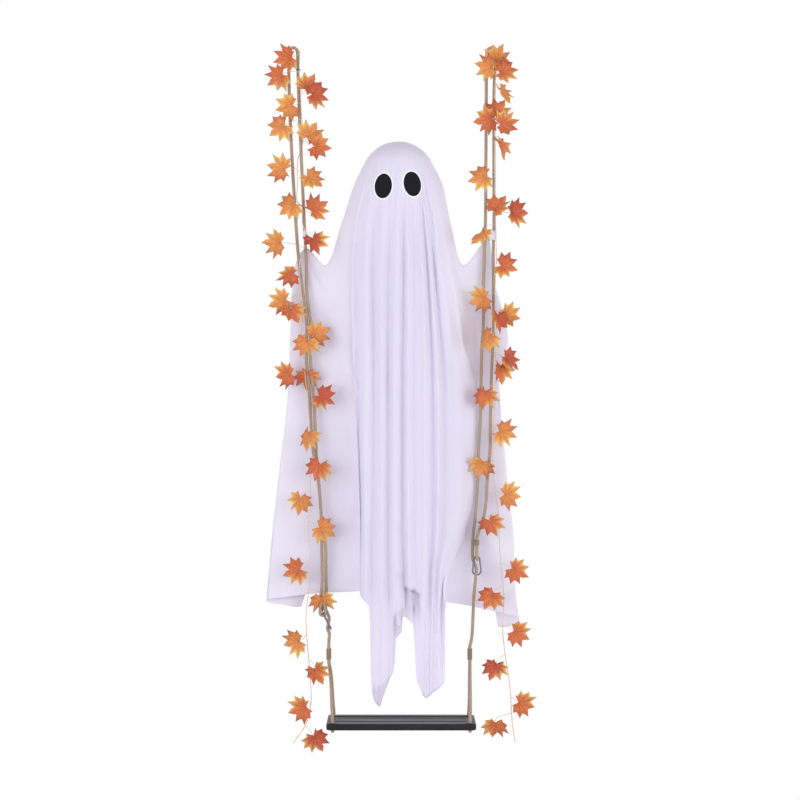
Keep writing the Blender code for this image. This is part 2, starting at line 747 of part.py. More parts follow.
def plate(name, start_at, end_at, radius, low, high):
    """Flat bar with round ends in the ring's plane, from n = low to n = high."""
    along = math.atan2(end_at[1] - start_at[1], end_at[0] - start_at[0])
    ring = []
    for centre, base in ((end_at, along - math.pi / 2), (start_at, along + math.pi / 2)):
        for k in range(7):
            turn = base + math.pi * k / 6
            ring.append((centre[0] + radius * math.cos(turn),
                         centre[1] + radius * math.sin(turn)))
    count = len(ring)
    verts = [(x, y, low) for x, y in ring] + [(x, y, high) for x, y in ring]
    faces = [tuple(reversed(range(count))), tuple(range(count, 2 * count))]
    for k in range(count):
        n = (k + 1) % count
        faces.append((k, n, count + n, count + k))
    return link(name, mesh_from(name, verts, faces), None, cutters)


def hook(side, at, axes):
    """Ring body, sprung gate and the rivet that the gate turns on."""
    frame = hook_frame(at, axes)
    hinge = (hook_w(HINGE_V), HINGE_V)
    nose_v = LATCH_V + GAP + 0.1
    flat = [(hook_w(nose_v), nose_v), (HOOK_LOW_R, HOOK_LOW_V)]
    flat += arc((0, HOOK_LOW_V), HOOK_LOW_R, 0, 180, 12)[1:]
    flat += arc((0, HOOK_TOP_V), HOOK_TOP_R, 180, 348, 11)
    body = tube(side + "_hook_body", [(w, v, 0) for w, v in flat], HOOK_WIRE_R, 8, steel())
    tongue = plate("tongue", (hinge[0] - 0.5, hinge[1] - 3.6), hinge, TONGUE_R,
                   -TONGUE_HALF_T, TONGUE_HALF_T)
    combine(body, tongue, "UNION")
    hole = tube("hole", [(*hinge, -4), (*hinge, 4)], RIVET_R + GAP, 12, None, cutters)
    combine(body, hole, "DIFFERENCE")

    top_v = HINGE_V + TONGUE_R + 0.6
    gate = tube(side + "_hook_gate", [(hook_w(top_v), top_v, 0), (hook_w(LATCH_V), LATCH_V, 0)],
                HOOK_WIRE_R - 0.1, 8, steel())
    inner = TONGUE_HALF_T + GAP
    low_v = top_v + 2.6
    for low, high in ((-inner - CHEEK_T, -inner), (inner, inner + CHEEK_T)):
        cheek = plate("cheek", hinge, (hook_w(low_v), low_v), 1.9, low, high)
        combine(gate, cheek, "UNION")
    hole = tube("hole", [(*hinge, -4), (*hinge, 4)], RIVET_R + GAP, 12, None, cutters)
    combine(gate, hole, "DIFFERENCE")

    face = inner + CHEEK_T + GAP
    out = face + RIVET_HEAD_T
    rivet = lathe(side + "_hook_rivet", [(0, -out), (RIVET_HEAD_R, -out), (RIVET_HEAD_R, -face),
                                         (RIVET_R, -face), (RIVET_R, face),
                                         (RIVET_HEAD_R, face), (RIVET_HEAD_R, out), (0, out)],
                  12, steel())
    rivet.data.transform(Matrix.Translation((*hinge, 0)))
    axis = tuple(frame @ Vector((*hinge, 0)))
    for piece in (body, gate, rivet):
        piece.data.transform(frame)
    return body, gate, rivet, axis


# Seat
def rounded(length, depth, radius, z):
    ring = []
    for cx, cy, base in ((1, 1, 0), (-1, 1, 90), (-1, -1, 180), (1, -1, 270)):
        centre = (cx * (length / 2 - radius), cy * (depth / 2 - radius))
        ring += arc(centre, radius, base, base + 90, 4)
    return [(SEAT_MID_X + x, y, z) for x, y in ring]


def slab(name, loops, shade, to=None):
    count = len(loops[0])
    verts = [p for ring in loops for p in ring]
    faces = [tuple(reversed(range(count)))]
    for j in range(len(loops) - 1):
        for k in range(count):
            n = (k + 1) % count
            a = j * count
            faces.append((a + k, a + n, a + count + n, a + count + k))
    last = (len(loops) - 1) * count
    faces.append(tuple(range(last, last + count)))
    return link(name, mesh_from(name, verts, faces), shade, to)


def seat():
    """Moulded plank with a raised rim and four rope holes."""
    low, edge = SEAT_TOP_Z - SEAT_THICK, 1.5
    loops = [rounded(SEAT_LENGTH - 2 * edge, SEAT_DEPTH - 2 * edge, SEAT_CORNER_R - edge, low),
             rounded(SEAT_LENGTH, SEAT_DEPTH, SEAT_CORNER_R, low + edge),
             rounded(SEAT_LENGTH, SEAT_DEPTH, SEAT_CORNER_R, SEAT_TOP_Z - edge),
             rounded(SEAT_LENGTH - 2 * edge, SEAT_DEPTH - 2 * edge, SEAT_CORNER_R - edge,
                     SEAT_TOP_Z)]
    made = slab("swing_seat", loops, seat_black())
    length, depth = SEAT_LENGTH - 2 * SEAT_RIM, 2 * (HOLE_Y - HOLE_R) - 6
    panel = slab("panel", [rounded(length, depth, 4, SEAT_TOP_Z - SEAT_RECESS),
                           rounded(length + 6, depth + 6, 7, SEAT_TOP_Z + 1.5)], None, cutters)
    combine(made, panel, "DIFFERENCE")
    for x in (LEFT_HOLE_X, RIGHT_HOLE_X):
        for y in (-HOLE_Y, HOLE_Y):
            hole = tube("hole", [(x, y, low - 5), (x, y, SEAT_TOP_Z + 5)], HOLE_R, 16, None,
                        cutters)
            combine(made, hole, "DIFFERENCE")
    return made


# Hand ties
def left_tie():
    made = band("left_hand_tie", (-218.7, 0, -472), 0.0, ROPE_R + GAP, 0.9, -10, 10,
                strap_clear(), 0.0, -2.9)
    strap = ribbon([(-218.4, 5.0, -476), (-217.6, 9.0, -485), (-216.8, 16.0, -503.0)], 5, 0.9)
    return combine(made, strap, "UNION")


def right_tie():
    made = band("right_hand_tie", (242.6, 0, -473.5), 10.9, ROPE_R + GAP, 0.9, -11.5, 11.5,
                strap_clear(), 90.0, 1.5)
    strap = ribbon([(241.6, 5.0, -470), (241.3, 9.5, -471.5), (241.8, 15.4, -472.7)], 5, 0.9)
    return combine(made, strap, "UNION")


def ribbon(route, width, thick):
    """Flat strap along a route that runs away from the camera."""
    verts, faces = [], []
    for x, y, z in route:
        verts += [(x - width / 2, y, z), (x + width / 2, y, z), (x + width / 2, y, z + thick),
                  (x - width / 2, y, z + thick)]
    for j in range(len(route) - 1):
        for k in range(4):
            a, b = 4 * j + k, 4 * j + (k + 1) % 4
            faces.append((a, b, b + 4, a + 4))
    faces.append((3, 2, 1, 0))
    last = 4 * (len(route) - 1)
    faces.append((last, last + 1, last + 2, last + 3))
    return link("strap", mesh_from("strap", verts, faces), None, cutters)


# Garlands. Stem stations are (x, y, z), and leaves are (x, z, turn, side tilt, y).
LEFT_STEM = [(-231, -6, -12), (-232.5, -6, -60), (-230, -6, -110), (-227, -6, -170),
             (-225, -4, -192), (-223.3, 1, -215), (-225.5, 6.3, -245), (-232, 6, -268),
             (-236.5, 0, -284), (-237, -6.8, -298), (-237, -6.5, -350),
             (-239, -6.5, -378), (-236, -9, -392), (-226, -7, -402), (-224, -8, -448),
             (-215, -8.5, -466), (-213.5, -8, -486), (-231, -6, -540), (-228.5, -6.5, -610),
             (-223.5, -6.5, -648), (-226, -6, -698), (-229.75, -6, -735), (-222, -6.5, -772),
             (-218.5, -6.5, -815), (-206, -7, -960), (-203.5, -9, -1012), (-204, -11, -1098),
             (-205, -11, -1160), (-210, -11, -1195), (-205, -11, -1260), (-203.5, -11, -1312),
             (-208.5, -11, -1358), (-215.5, -11, -1428), (-208.5, -11, -1535),
             (-203, -11, -1640), (-215, -11, -1692), (-247.5, -11, -1741)]
RIGHT_STEM = [(259, -6, -12), (257.8, -6, -60), (256, -6, -110), (255, -6, -300),
              (257, -6.5, -420), (259.5, -8.5, -510), (256.5, -7, -610), (255.75, -6.5, -760),
              (259, -6.5, -835), (252, -7, -960), (250, -7, -1045), (253, -8, -1090),
              (266.5, -9, -1180), (266.5, -9, -1228), (271, -9, -1300), (278, -9, -1372),
              (275, -9, -1458), (281.5, -9, -1520), (293, -9, -1598), (299, -9, -1688),
              (306.5, -9, -1740)]
LEFT_LEAVES = [(-266, -38, 195, 15), (-286, -88, 215, 10), (-200, -98, 60, 0),
               (-183, -132, 350, 10), (-263, -158, 195, 15), (-281, -212, 215, 10),
               (-200, -222, 40, 0), (-178, -258, 350, 10), (-283, -308, 165, 0),
               (-198, -342, 315, 35), (-264, -408, 215, 20), (-187, -406, 30, 0),
               (-293, -494, 180, 10), (-185, -498, 290, 30), (-261, -578, 195, 45),
               (-280, -642, 200, 5), (-247, -686, 290, 20), (-182, -718, 25, 0),
               (-212, -755, 250, 20), (-268, -824, 190, 0), (-200, -832, 265, 0),
               (-168, -882, 330, 10), (-214, -982, 255, 35), (-185, -1060, 250, 10),
               (-231, -1142, 255, 20), (-168, -1210, 330, 0), (-244, -1312, 200, 0),
               (-176, -1392, 300, 0), (-245, -1488, 200, 5), (-180, -1564, 290, 20),
               (-238, -1650, 200, 0), (-188, -1742, 300, 0)]
RIGHT_LEAVES = [(290, -24, 60, 15), (228, -58, 170, 10), (292, -92, 10, 20),
                (290, -165, 30, 15), (230, -192, 190, 10), (289, -232, 10, 20),
                (217, -335, 200, 20), (284, -402, 30, 30), (312, -425, 0, 0),
                (217, -480, 250, 20), (290, -555, 340, 10), (217, -635, 200, 10),
                (293, -676, 340, 15), (235, -738, 230, 30), (293, -790, 330, 25),
                (228, -880, 260, 20), (282, -968, 340, 0), (219, -1054, 250, 0),
                (296, -1122, 350, 0), (247, -1198, 290, 20), (312, -1312, 330, 10),
                (243, -1380, 240, 0), (317, -1468, 330, 0), (252, -1555, 250, 10),
                (329, -1642, 340, 0), (258, -1702, 260, 0)]


def leaf_points(place, front):
    """Ring of a pointed leaf, a point above its middle and one below it."""
    x, z, turn, tilt = place
    along = Vector((math.cos(math.radians(turn)), 0, math.sin(math.radians(turn))))
    flat = Vector((-along.z, 0, along.x))
    lean = math.radians(tilt)
    across = flat * math.cos(lean) + Vector((0, math.sin(lean), 0))
    out = along.cross(across)
    if out.y > 0:
        out = -out
    half = LEAF_LENGTH * 0.5 * math.sin(lean)
    centre = Vector((x, front - half, z))
    ring = LEAF_HALF + [(u, -v) for u, v in reversed(LEAF_HALF[1:-1])]

    def at(u, v, lift=0.0):
        raise_by = LEAF_FOLD * abs(v) * LEAF_LENGTH * 0.5 + lift
        return centre + along * (u * LEAF_LENGTH) + across * (v * LEAF_LENGTH) + out * raise_by

    points = [at(u, v) for u, v in ring]
    points.append(at(LEAF_MID, 0, LEAF_THICK / 2))
    points.append(at(LEAF_MID, 0, -LEAF_THICK / 2))
    return points, at(-0.35, 0), at(LEAF_MID + 0.1, 0)


def nearest_on(route, target):
    best = None
    for a, b in zip(route, route[1:]):
        a, b = Vector(a), Vector(b)
        t = max(0.0, min(1.0, (target - a).dot(b - a) / (b - a).length_squared))
        found = a.lerp(b, t)
        if best is None or (found - target).length < (best - target).length:
            best = found
    return best


def garland(name, stem, leaves, fronts):
    """Stem, leaf stalks and leaves, joined into one moulded body."""
    made = tube(name, stem, STEM_R, 6, leaf_orange())
    pieces = bpy.data.collections.new(name + "_pieces")
    bpy.context.scene.collection.children.link(pieces)
    for index, place in enumerate(leaves):
        front = fronts(place[1])
        points, base, middle = leaf_points(place, front)
        count = len(points) - 2
        faces = []
        for k in range(count):
            n = (k + 1) % count
            faces.append((k, n, count))
            faces.append((n, k, count + 1))
        mesh = mesh_from("leaf", points, faces)
        link("leaf_%d" % index, mesh, None, pieces)
        root = nearest_on(stem, base + Vector((0, 0, 8)))
        bend = root.lerp(base, 0.55) + Vector((0, -1.0, 2.0))
        verts, sides = sweep([root, bend, middle], STALK_R, 3, 0.5)
        link("stalk_%d" % index, mesh_from("stalk", verts, sides), None, pieces)
    for piece in pieces.objects:
        fix_normals(piece)
    fix_normals(made)
    return combine(made, pieces, "UNION")


def fix_normals(item):
    work = bmesh.new()
    work.from_mesh(item.data)
    bmesh.ops.recalc_face_normals(work, faces=work.faces)
    work.to_mesh(item.data)
    work.free()
    return item


def main():
    start()
    sheet = cloth()
    pieces = [sheet, head(), post(), arm_wire(), eye("left_eye", LEFT_EYE, sheet),
              eye("right_eye", RIGHT_EYE, sheet), left_tie(), right_tie(), seat()]
    pieces.append(tube("left_rope", left_rope_route(), ROPE_R, ROPE_SIDES, jute()))
    pieces.append(tube("right_rope", right_rope_route(), ROPE_R, ROPE_SIDES, jute()))
    s = STRAND_HALF
    left_low = LEFT_HOOK_AT[2] - HOOK_HALF * LEFT_HOOK_AXES[1][2] + SPLICE_LOW + 1.5
    right_low = RIGHT_HOOK_AT[2] + HOOK_HALF + SPLICE_LOW
    pieces.append(whipping("left_splice", LEFT_EYE_X, 0, s, left_low, left_low + SPLICE_TALL, 90))
    pieces.append(whipping("right_splice", RIGHT_HOOK_AT[0], 0, s, right_low,
                           right_low + SPLICE_TALL, 0))
    pieces.append(whipping("left_seat_whipping", LEFT_LEG_X, 0, s, WHIP_LOW_Z, WHIP_TOP_Z, 0))
    pieces.append(whipping("right_seat_whipping", RIGHT_LEG_X, 0, s, WHIP_LOW_Z, WHIP_TOP_Z, 0))
    pieces.append(garland("left_garland", LEFT_STEM, LEFT_LEAVES,
                          lambda z: -9.0 if z > -950 else -15.0))
    pieces.append(garland("right_garland", RIGHT_STEM, RIGHT_LEAVES,
                          lambda z: -9.0 if z > -430 else -32.0 if -1100 < z < -1000 else -12.0))
    pieces.append(band("left_garland_tie", (-235.3, -3, -60), 3.2, ROPE_R + GAP + 0.3, 0.8,
                       -1, 1, wire_steel()))
    pieces.append(band("right_garland_tie", (256.6, -3, -60), 3.2, ROPE_R + GAP + 0.3, 0.8,
                       -1, 1, wire_steel()))
    for piece in pieces:
        fix_normals(piece)
        to_metres(piece)
    for side, at, axes in (("left", LEFT_HOOK_AT, LEFT_HOOK_AXES),
                           ("right", RIGHT_HOOK_AT, RIGHT_HOOK_AXES)):
        body, gate, rivet, axis = hook(side, at, axes)
        for piece in (body, rivet):
            fix_normals(piece)
            to_metres(piece)
        fix_normals(gate)
        to_metres(gate, axis)
    cutters.hide_render = True


main()
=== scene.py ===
"""Looks of the hanging fabric ghost on its swing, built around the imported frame."""
import json
import math
import random

import bmesh
import bpy
import numpy as np
from mathutils import Matrix, Vector, noise
from mathutils.bvhtree import BVHTree

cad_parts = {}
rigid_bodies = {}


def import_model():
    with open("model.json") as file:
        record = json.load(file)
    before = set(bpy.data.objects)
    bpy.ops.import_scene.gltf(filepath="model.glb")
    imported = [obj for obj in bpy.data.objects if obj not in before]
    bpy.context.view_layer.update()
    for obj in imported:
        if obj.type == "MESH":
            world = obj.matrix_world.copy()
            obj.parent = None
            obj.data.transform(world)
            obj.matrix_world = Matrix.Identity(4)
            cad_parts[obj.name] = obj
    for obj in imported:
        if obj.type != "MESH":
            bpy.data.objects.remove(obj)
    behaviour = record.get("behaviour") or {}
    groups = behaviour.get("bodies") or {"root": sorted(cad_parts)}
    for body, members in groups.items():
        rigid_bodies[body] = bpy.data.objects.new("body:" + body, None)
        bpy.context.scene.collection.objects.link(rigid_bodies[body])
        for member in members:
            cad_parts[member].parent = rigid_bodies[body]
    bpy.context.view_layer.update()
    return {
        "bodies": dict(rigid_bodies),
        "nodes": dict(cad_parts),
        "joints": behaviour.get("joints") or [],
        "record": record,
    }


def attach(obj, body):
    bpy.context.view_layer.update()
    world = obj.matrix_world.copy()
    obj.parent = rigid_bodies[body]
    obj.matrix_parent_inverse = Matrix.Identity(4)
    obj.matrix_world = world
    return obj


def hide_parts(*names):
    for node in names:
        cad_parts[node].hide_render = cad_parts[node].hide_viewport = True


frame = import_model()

# Driving sizes, the same as the solids'
MM = 0.001
GAP = 0.3

# Ropes
ROPE_R = 4.5
STRAND_HALF = ROPE_R + GAP / 2
LOOP_LEFT_X = -248.0
LOOP_LEFT_R = 10.6
LOOP_RIGHT_X = 248.5
LOOP_RIGHT_R = 12.5

# Snap hooks: a pear ring, narrow end up, with the gate on its +w side
HOOK_WIRE_R = 2.0
HOOK_HALF = 23.0
HOOK_TOP_R = 7.0
HOOK_LOW_R = 10.5
HOOK_TOP_V = -HOOK_HALF + HOOK_TOP_R
HOOK_LOW_V = HOOK_HALF - HOOK_LOW_R
HINGE_V = -14.5
TONGUE_HALF_T = 0.7
TONGUE_R = 2.0
TONGUE_LONG = 3.6
CHEEK_T = 0.9
CHEEK_R = 1.9
CHEEK_LONG = 2.6
RIVET_R = 0.8
RIVET_HEAD_R = 1.6
LATCH_V = 9.6
LEFT_HOOK_AT = (-163.75, 0.0, -1437.0)
LEFT_HOOK_AXES = ((0.0, -1.0, 0.0), (0.4472, 0.0, -0.8944))
RIGHT_HOOK_AT = (211.0, 0.0, -1299.0)
RIGHT_HOOK_AXES = ((1.0, 0.0, 0.0), (0.0, 0.0, -1.0))
EYE_R = 7.0
LEFT_EYE_X = LEFT_HOOK_AT[0] - HOOK_HALF * LEFT_HOOK_AXES[1][0]
SPLICE_LOW = 27.0
SPLICE_TALL = 15.0
HOOK_PASS = [(-10.5, -26, 9.5), (-9.5, -14, 9.0), (-4.5, -3, 7.6), (-1.2, 7, 0.8),
             (-1.8, 14, -5), (-2.5, 21, -8.2), (-3, 30, -8.5)]

# Seat
SEAT_MID_X = 22.0
SEAT_LENGTH = 370.0
SEAT_DEPTH = 140.0
SEAT_THICK = 16.0
SEAT_TOP_Z = -1683.0
SEAT_CORNER_R = 12.0
SEAT_RIM = 14.0
SEAT_RECESS = 1.5
SEAT_EDGE_R = 3.0
BEAD_Y = 24.0
BEAD_R = 1.5
BEAD_SUNK = 0.6
HOLE_Y = 52.0
HOLE_R = ROPE_R + 1.5
LEFT_HOLE_X = SEAT_MID_X - SEAT_LENGTH / 2 + 15.0
RIGHT_HOLE_X = SEAT_MID_X + SEAT_LENGTH / 2 - 14.5
LEG_TOP_Z = SEAT_TOP_Z + 183.0
WHIP_TOP_Z = LEG_TOP_Z - 6.0
WHIP_LOW_Z = WHIP_TOP_Z - 28.0
LEG_PART_Z = WHIP_LOW_Z - 3.0
LEG_MID_Z = LEG_PART_Z - 35.0
LEG_LOW_Z = SEAT_TOP_Z + 31.0
LEFT_LEG_X = -159.0
RIGHT_LEG_X = 193.5

# Hand ties and garland ties
STRAP_WALL = 0.9
STRAP_WIDE = 5.0
GARLAND_TIE_LOW_Z = -61.2
GARLAND_TIE_TOP_Z = -58.8
TIE_WIRE_R = 0.4
TIE_HALF = 3.2

# Head, post and arm wire
HEAD_AT = (15.0, 12.0, -332.0)
CLOTH_THICK = 1.2
HEAD_R = 90.7
HEAD_SLACK = 2.1
CLOTH_R = HEAD_R + CLOTH_THICK + HEAD_SLACK
DRAPE_R = 94.0
DRAPE_EVEN_Z = -548.0

# The stations of the cloth were measured in the ropes' plane, from a point straight in front
EYE_LEVEL_X = 19.0
EYE_LEVEL_Z = -885.0
VIEW_FAR = 4500.0

# Cloth
FOLD_DEPTH = 13.0
FOLD_START_Z = -300.0
FOLD_FULL_Z = -560.0
FACE_HALF_X = 78.0
FACE_LOW_Z = -396.0

# Eyes
EYE_WIDE = 42.7
EYE_TALL = 61.4
EYE_THICK = 1.0
EYE_OFFSET = 0.8
LEFT_EYE = (-22.2, -358.6, 4.0)
RIGHT_EYE = (49.4, -353.7, -8.0)

# Garlands
STEM_R = 1.1
STALK_R = 0.7
LEAF_LENGTH = 72.0

# Looks
ROPE_STEP = 2.4
LOBE_POINTS = 6
ROPE_PITCH = 20.0
TWINE_R = 0.6
LEFT_SPLICE_LOW = LEFT_HOOK_AT[2] - HOOK_HALF * LEFT_HOOK_AXES[1][2] + SPLICE_LOW + 1.5
RIGHT_SPLICE_LOW = RIGHT_HOOK_AT[2] + HOOK_HALF + SPLICE_LOW
FINE_FOLD = 1.8
FINE_START_Z = -330.0
FOLD_COLUMNS = 14
SIDE_STEP = 0.16
ROW_SPLIT = [4, 14, 14, 12, 7, 7, 8, 11, 22, 22, 18, 32]
TAIL_EDGE = 10.62
TAIL_EDGE_HEM_Z = -1396.0
LEFT_WING_STEP = 52.0
RIGHT_WING_STEP = 88.0
DOME_FINE = [3, 7, 12, 18, 24, 30, 36, 42, 48, 54, 59, 63, 67, 71]
RIM_WIDE = 3.2
RIM_OFFSET = 0.35
RIM_THICK = 0.7
FLOOR_HALF = 14.0
FLOOR_Z = -2.05
AMBIENT = 2.0
AMBIENT_ABOVE = 0.15
KEY_POWER = 33.0
FILL_POWER = 36.0
BACK_POWER = 9.0
CLOTH_COLOUR = (0.775, 0.738, 0.90)
ROPE_COLOUR = (0.60, 0.455, 0.335)
SEAT_COLOUR = (0.015, 0.015, 0.017)
LEAF_BODY = (0.68, 0.185, 0.065)
LEAF_WARM = (0.77, 0.30, 0.085)
LEAF_RUST = (0.58, 0.115, 0.055)
LEAF_GOLD = (0.90, 0.62, 0.17)
LEAF_RED = (0.36, 0.055, 0.040)


def clamp(value):
    return max(0.0, min(1.0, value))


def scaled(colour, share):
    return tuple(c * share for c in colour)


# Nodes: a value that is another node's output is linked, and any other is set
def feed(made, values):
    for key, value in values.items():
        socket = made.inputs[key]
        if isinstance(value, bpy.types.NodeSocket):
            made.id_data.links.new(value, socket)
        else:
            socket.default_value = value
    return made


def node(tree, kind, values=(), **settings):
    made = tree.nodes.new(kind)
    for key, value in settings.items():
        setattr(made, key, value)
    return feed(made, dict(values))


def blank(owner):
    """An empty node tree for a world or a material."""
    owner.use_nodes = True
    owner.node_tree.nodes.clear()
    return owner.node_tree


def white_to_camera(tree, kind, lit, seen):
    """Show one look to the camera and another to the light."""
    path = node(tree, "ShaderNodeLightPath")
    mix = node(tree, "ShaderNodeMixShader",
               {0: path.outputs["Is Camera Ray"], 1: lit.outputs[0], 2: seen.outputs[0]})
    node(tree, kind, {0: mix.outputs[0]})


# Camera, lights and floor
def camera():
    data = bpy.data.cameras.new("camera")
    data.sensor_width = 36.0
    data.lens = 81.0
    made = bpy.data.objects.new("camera", data)
    made.location = (EYE_LEVEL_X * MM, -VIEW_FAR * MM, EYE_LEVEL_Z * MM)
    made.rotation_euler = (math.pi / 2, 0, 0)
    bpy.context.scene.collection.objects.link(made)
    bpy.context.scene.camera = made


def area_light(name, place, target, size, power):
    data = bpy.data.lights.new(name, "AREA")
    data.shape = "RECTANGLE"
    data.size, data.size_y = size
    data.energy = power
    made = bpy.data.objects.new(name, data)
    made.location = place
    aim = Vector(target) - Vector(place)
    made.rotation_euler = aim.to_track_quat("-Z", "Y").to_euler()
    bpy.context.scene.collection.objects.link(made)


def studio():
    """Light that comes mostly from the front and below."""
    scene = bpy.context.scene
    scene.view_settings.view_transform = "Standard"
    scene.world = bpy.data.worlds.new("studio")
    tree = blank(scene.world)
    split = node(tree, "ShaderNodeSeparateXYZ", {0: coords(tree, "Generated")})
    level = ranged(tree, split.outputs["Z"], AMBIENT, AMBIENT_ABOVE, -0.2, 0.9)
    glow = node(tree, "ShaderNodeBackground", {"Color": (0.985, 0.98, 1.0, 1), "Strength": level})
    white = node(tree, "ShaderNodeBackground", {"Color": (1, 1, 1, 1), "Strength": 1.0})
    white_to_camera(tree, "ShaderNodeOutputWorld", glow, white)
    area_light("key", (-2.5, -3.1, -0.9), (0, 0, -0.9), (3.0, 2.4), KEY_POWER)
    area_light("fill", (2.9, -2.7, -1.0), (0, 0, -0.9), (3.0, 2.4), FILL_POWER)
    area_light("back", (0.3, 2.8, 0.8), (0, 0, -0.8), (2.2, 2.2), BACK_POWER)


def floor():
    size, z = FLOOR_HALF, FLOOR_Z
    shade = bpy.data.materials.new("pale_floor")
    tree = blank(shade)
    dull = node(tree, "ShaderNodeBsdfDiffuse", {"Color": (0.85, 0.85, 0.87, 1)})
    white = node(tree, "ShaderNodeEmission", {"Color": (1, 1, 1, 1)})
    white_to_camera(tree, "ShaderNodeOutputMaterial", dull, white)
    corners = [(-size, -size, z), (size, -size, z), (size, size, z), (-size, size, z)]
    made = build("floor", corners, [(0, 1, 2, 3)], shade)


# Materials
def shader(name, colour, roughness):
    made = bpy.data.materials.new(name)
    made.use_nodes = True
    base = made.node_tree.nodes["Principled BSDF"]
    feed(base, {"Base Color": (*colour, 1.0), "Roughness": roughness})
    return made, made.node_tree, base


def coords(tree, kind="Object"):
    return node(tree, "ShaderNodeTexCoord").outputs[kind]


def stretched(tree, source, scale):
    return node(tree, "ShaderNodeMapping", {"Vector": source, "Scale": scale}).outputs["Vector"]


def noise_at(tree, source, scale, detail=3.0, stretch=None):
    if stretch:
        source = stretched(tree, source, stretch)
    return node(tree, "ShaderNodeTexNoise",
                {"Vector": source, "Scale": scale, "Detail": detail}).outputs["Fac"]


def ranged(tree, value, low, high, start=0.0, end=1.0):
    return node(tree, "ShaderNodeMapRange",
                {"Value": value, "From Min": start, "From Max": end, "To Min": low,
                 "To Max": high}).outputs["Result"]


def blend(tree, fac, one, two):
    """Colour ramp between two colours."""
    ramp = node(tree, "ShaderNodeValToRGB", {"Fac": fac})
    for stop, at, colour in zip(ramp.color_ramp.elements, (0.3, 0.7), (one, two)):
        stop.position = at
        stop.color = (*colour, 1)
    return ramp.outputs["Color"]


def attribute(tree, name, output="Color"):
    return node(tree, "ShaderNodeAttribute", attribute_name=name).outputs[output]


def toned(tree, colour):
    """A colour times the painted light and shade stored as a tone on the mesh."""
    return node(tree, "ShaderNodeMixRGB",
                {"Fac": 1.0, "Color1": colour, "Color2": attribute(tree, "depth")},
                blend_type="MULTIPLY").outputs["Color"]


def bump(tree, base, height, strength, distance):
    made = node(tree, "ShaderNodeBump",
                {"Height": height, "Strength": strength, "Distance": distance})
    previous = base.inputs["Normal"].links
    if previous:
        feed(made, {"Normal": previous[0].from_socket})
    feed(base, {"Normal": made.outputs["Normal"]})


def waves(tree, source, scale, direction, stretch=(1, 1, 1), distort=0.0):
    return node(tree, "ShaderNodeTexWave",
                {"Vector": stretched(tree, source, stretch), "Scale": scale,
                 "Distortion": distort}, bands_direction=direction).outputs["Fac"]


def woven(tree, source, scale):
    """Threads both ways."""
    warp, weft = waves(tree, source, scale, "X"), waves(tree, source, scale, "Z")
    return node(tree, "ShaderNodeMath", {0: warp, 1: weft}, operation="ADD").outputs[0]


def grainy_material(name, one, two, roughness, scale, depth, strength=0.35, detail=4.0,
                    stretch=None, more=()):
    """A fine mottle between two colours, which also stands out a little."""
    made, tree, base = shader(name, two, roughness)
    grain = noise_at(tree, coords(tree), scale, detail, stretch)
    feed(base, {"Base Color": blend(tree, grain, one, two), **dict(more)})
    bump(tree, base, grain, strength, depth)
    return made


def cloth_material():
    """Thin plain weave: fine threads both ways, soft sheen and a little light through it."""
    made, tree, base = shader("ghost_cloth_look", CLOTH_COLOUR, 0.85)
    here = coords(tree)
    tone = blend(tree, noise_at(tree, here, 7.0), scaled(CLOTH_COLOUR, 0.985), CLOTH_COLOUR)
    feed(base, {"Base Color": toned(tree, tone), "Sheen Weight": 0.25, "Sheen Roughness": 0.5,
                "Specular IOR Level": 0.2, "Subsurface Weight": 0.22,
                "Subsurface Radius": (0.014, 0.012, 0.013), "Subsurface Scale": 0.25})
    bump(tree, base, woven(tree, here, 420.0), 0.12, 0.0002)
    bump(tree, base, noise_at(tree, here, 22.0, 4.0, (1.0, 1.0, 0.35)), 0.18, 0.004)
    return made


def rope_material():
    """Twisted natural fibre: yarns run round each strand, with painted shade darkening the grooves
    between strands.
    """
    made, tree, base = shader("rope_look", ROPE_COLOUR, 0.9)
    along = coords(tree, "UV")
    fibres = noise_at(tree, along, 30.0, 5.0, (1.0, 3.0, 1.0))
    tone = blend(tree, fibres, scaled(ROPE_COLOUR, 0.78), scaled(ROPE_COLOUR, 1.18))
    feed(base, {"Base Color": toned(tree, tone), "Sheen Weight": 0.2})
    bump(tree, base, waves(tree, along, 1.0, "DIAGONAL", (9.0, 9.0, 1.0), 1.2), 0.5, 0.0007)
    bump(tree, base, fibres, 0.5, 0.0004)
    return made


def steel_material(name="hook_look", colour=(0.22, 0.23, 0.27), roughness=0.28):
    made, tree, base = shader(name, colour, roughness)
    here = coords(tree)
    wear = noise_at(tree, here, 160.0, 4.0)
    feed(base, {"Metallic": 1.0, "Base Color": blend(tree, wear, scaled(colour, 0.8), colour),
                "Roughness": ranged(tree, wear, roughness * 0.7, roughness * 1.6)})
    bump(tree, base, noise_at(tree, here, 1500.0), 0.15, 0.0001)
    return made


def seat_material():
    """Black moulded plastic with a fine grain and faint scuffs."""
    made, tree, base = shader("seat_look", SEAT_COLOUR, 0.42)
    here = coords(tree)
    scuffs = noise_at(tree, here, 26.0, 5.0, (0.25, 1.0, 1.0))
    tone = blend(tree, scuffs, scaled(SEAT_COLOUR, 0.85), scaled(SEAT_COLOUR, 1.35))
    feed(base, {"Base Color": tone, "Specular IOR Level": 0.22,
                "Roughness": ranged(tree, scuffs, 0.34, 0.56)})
    bump(tree, base, noise_at(tree, here, 1100.0), 0.25, 0.0002)
    return made


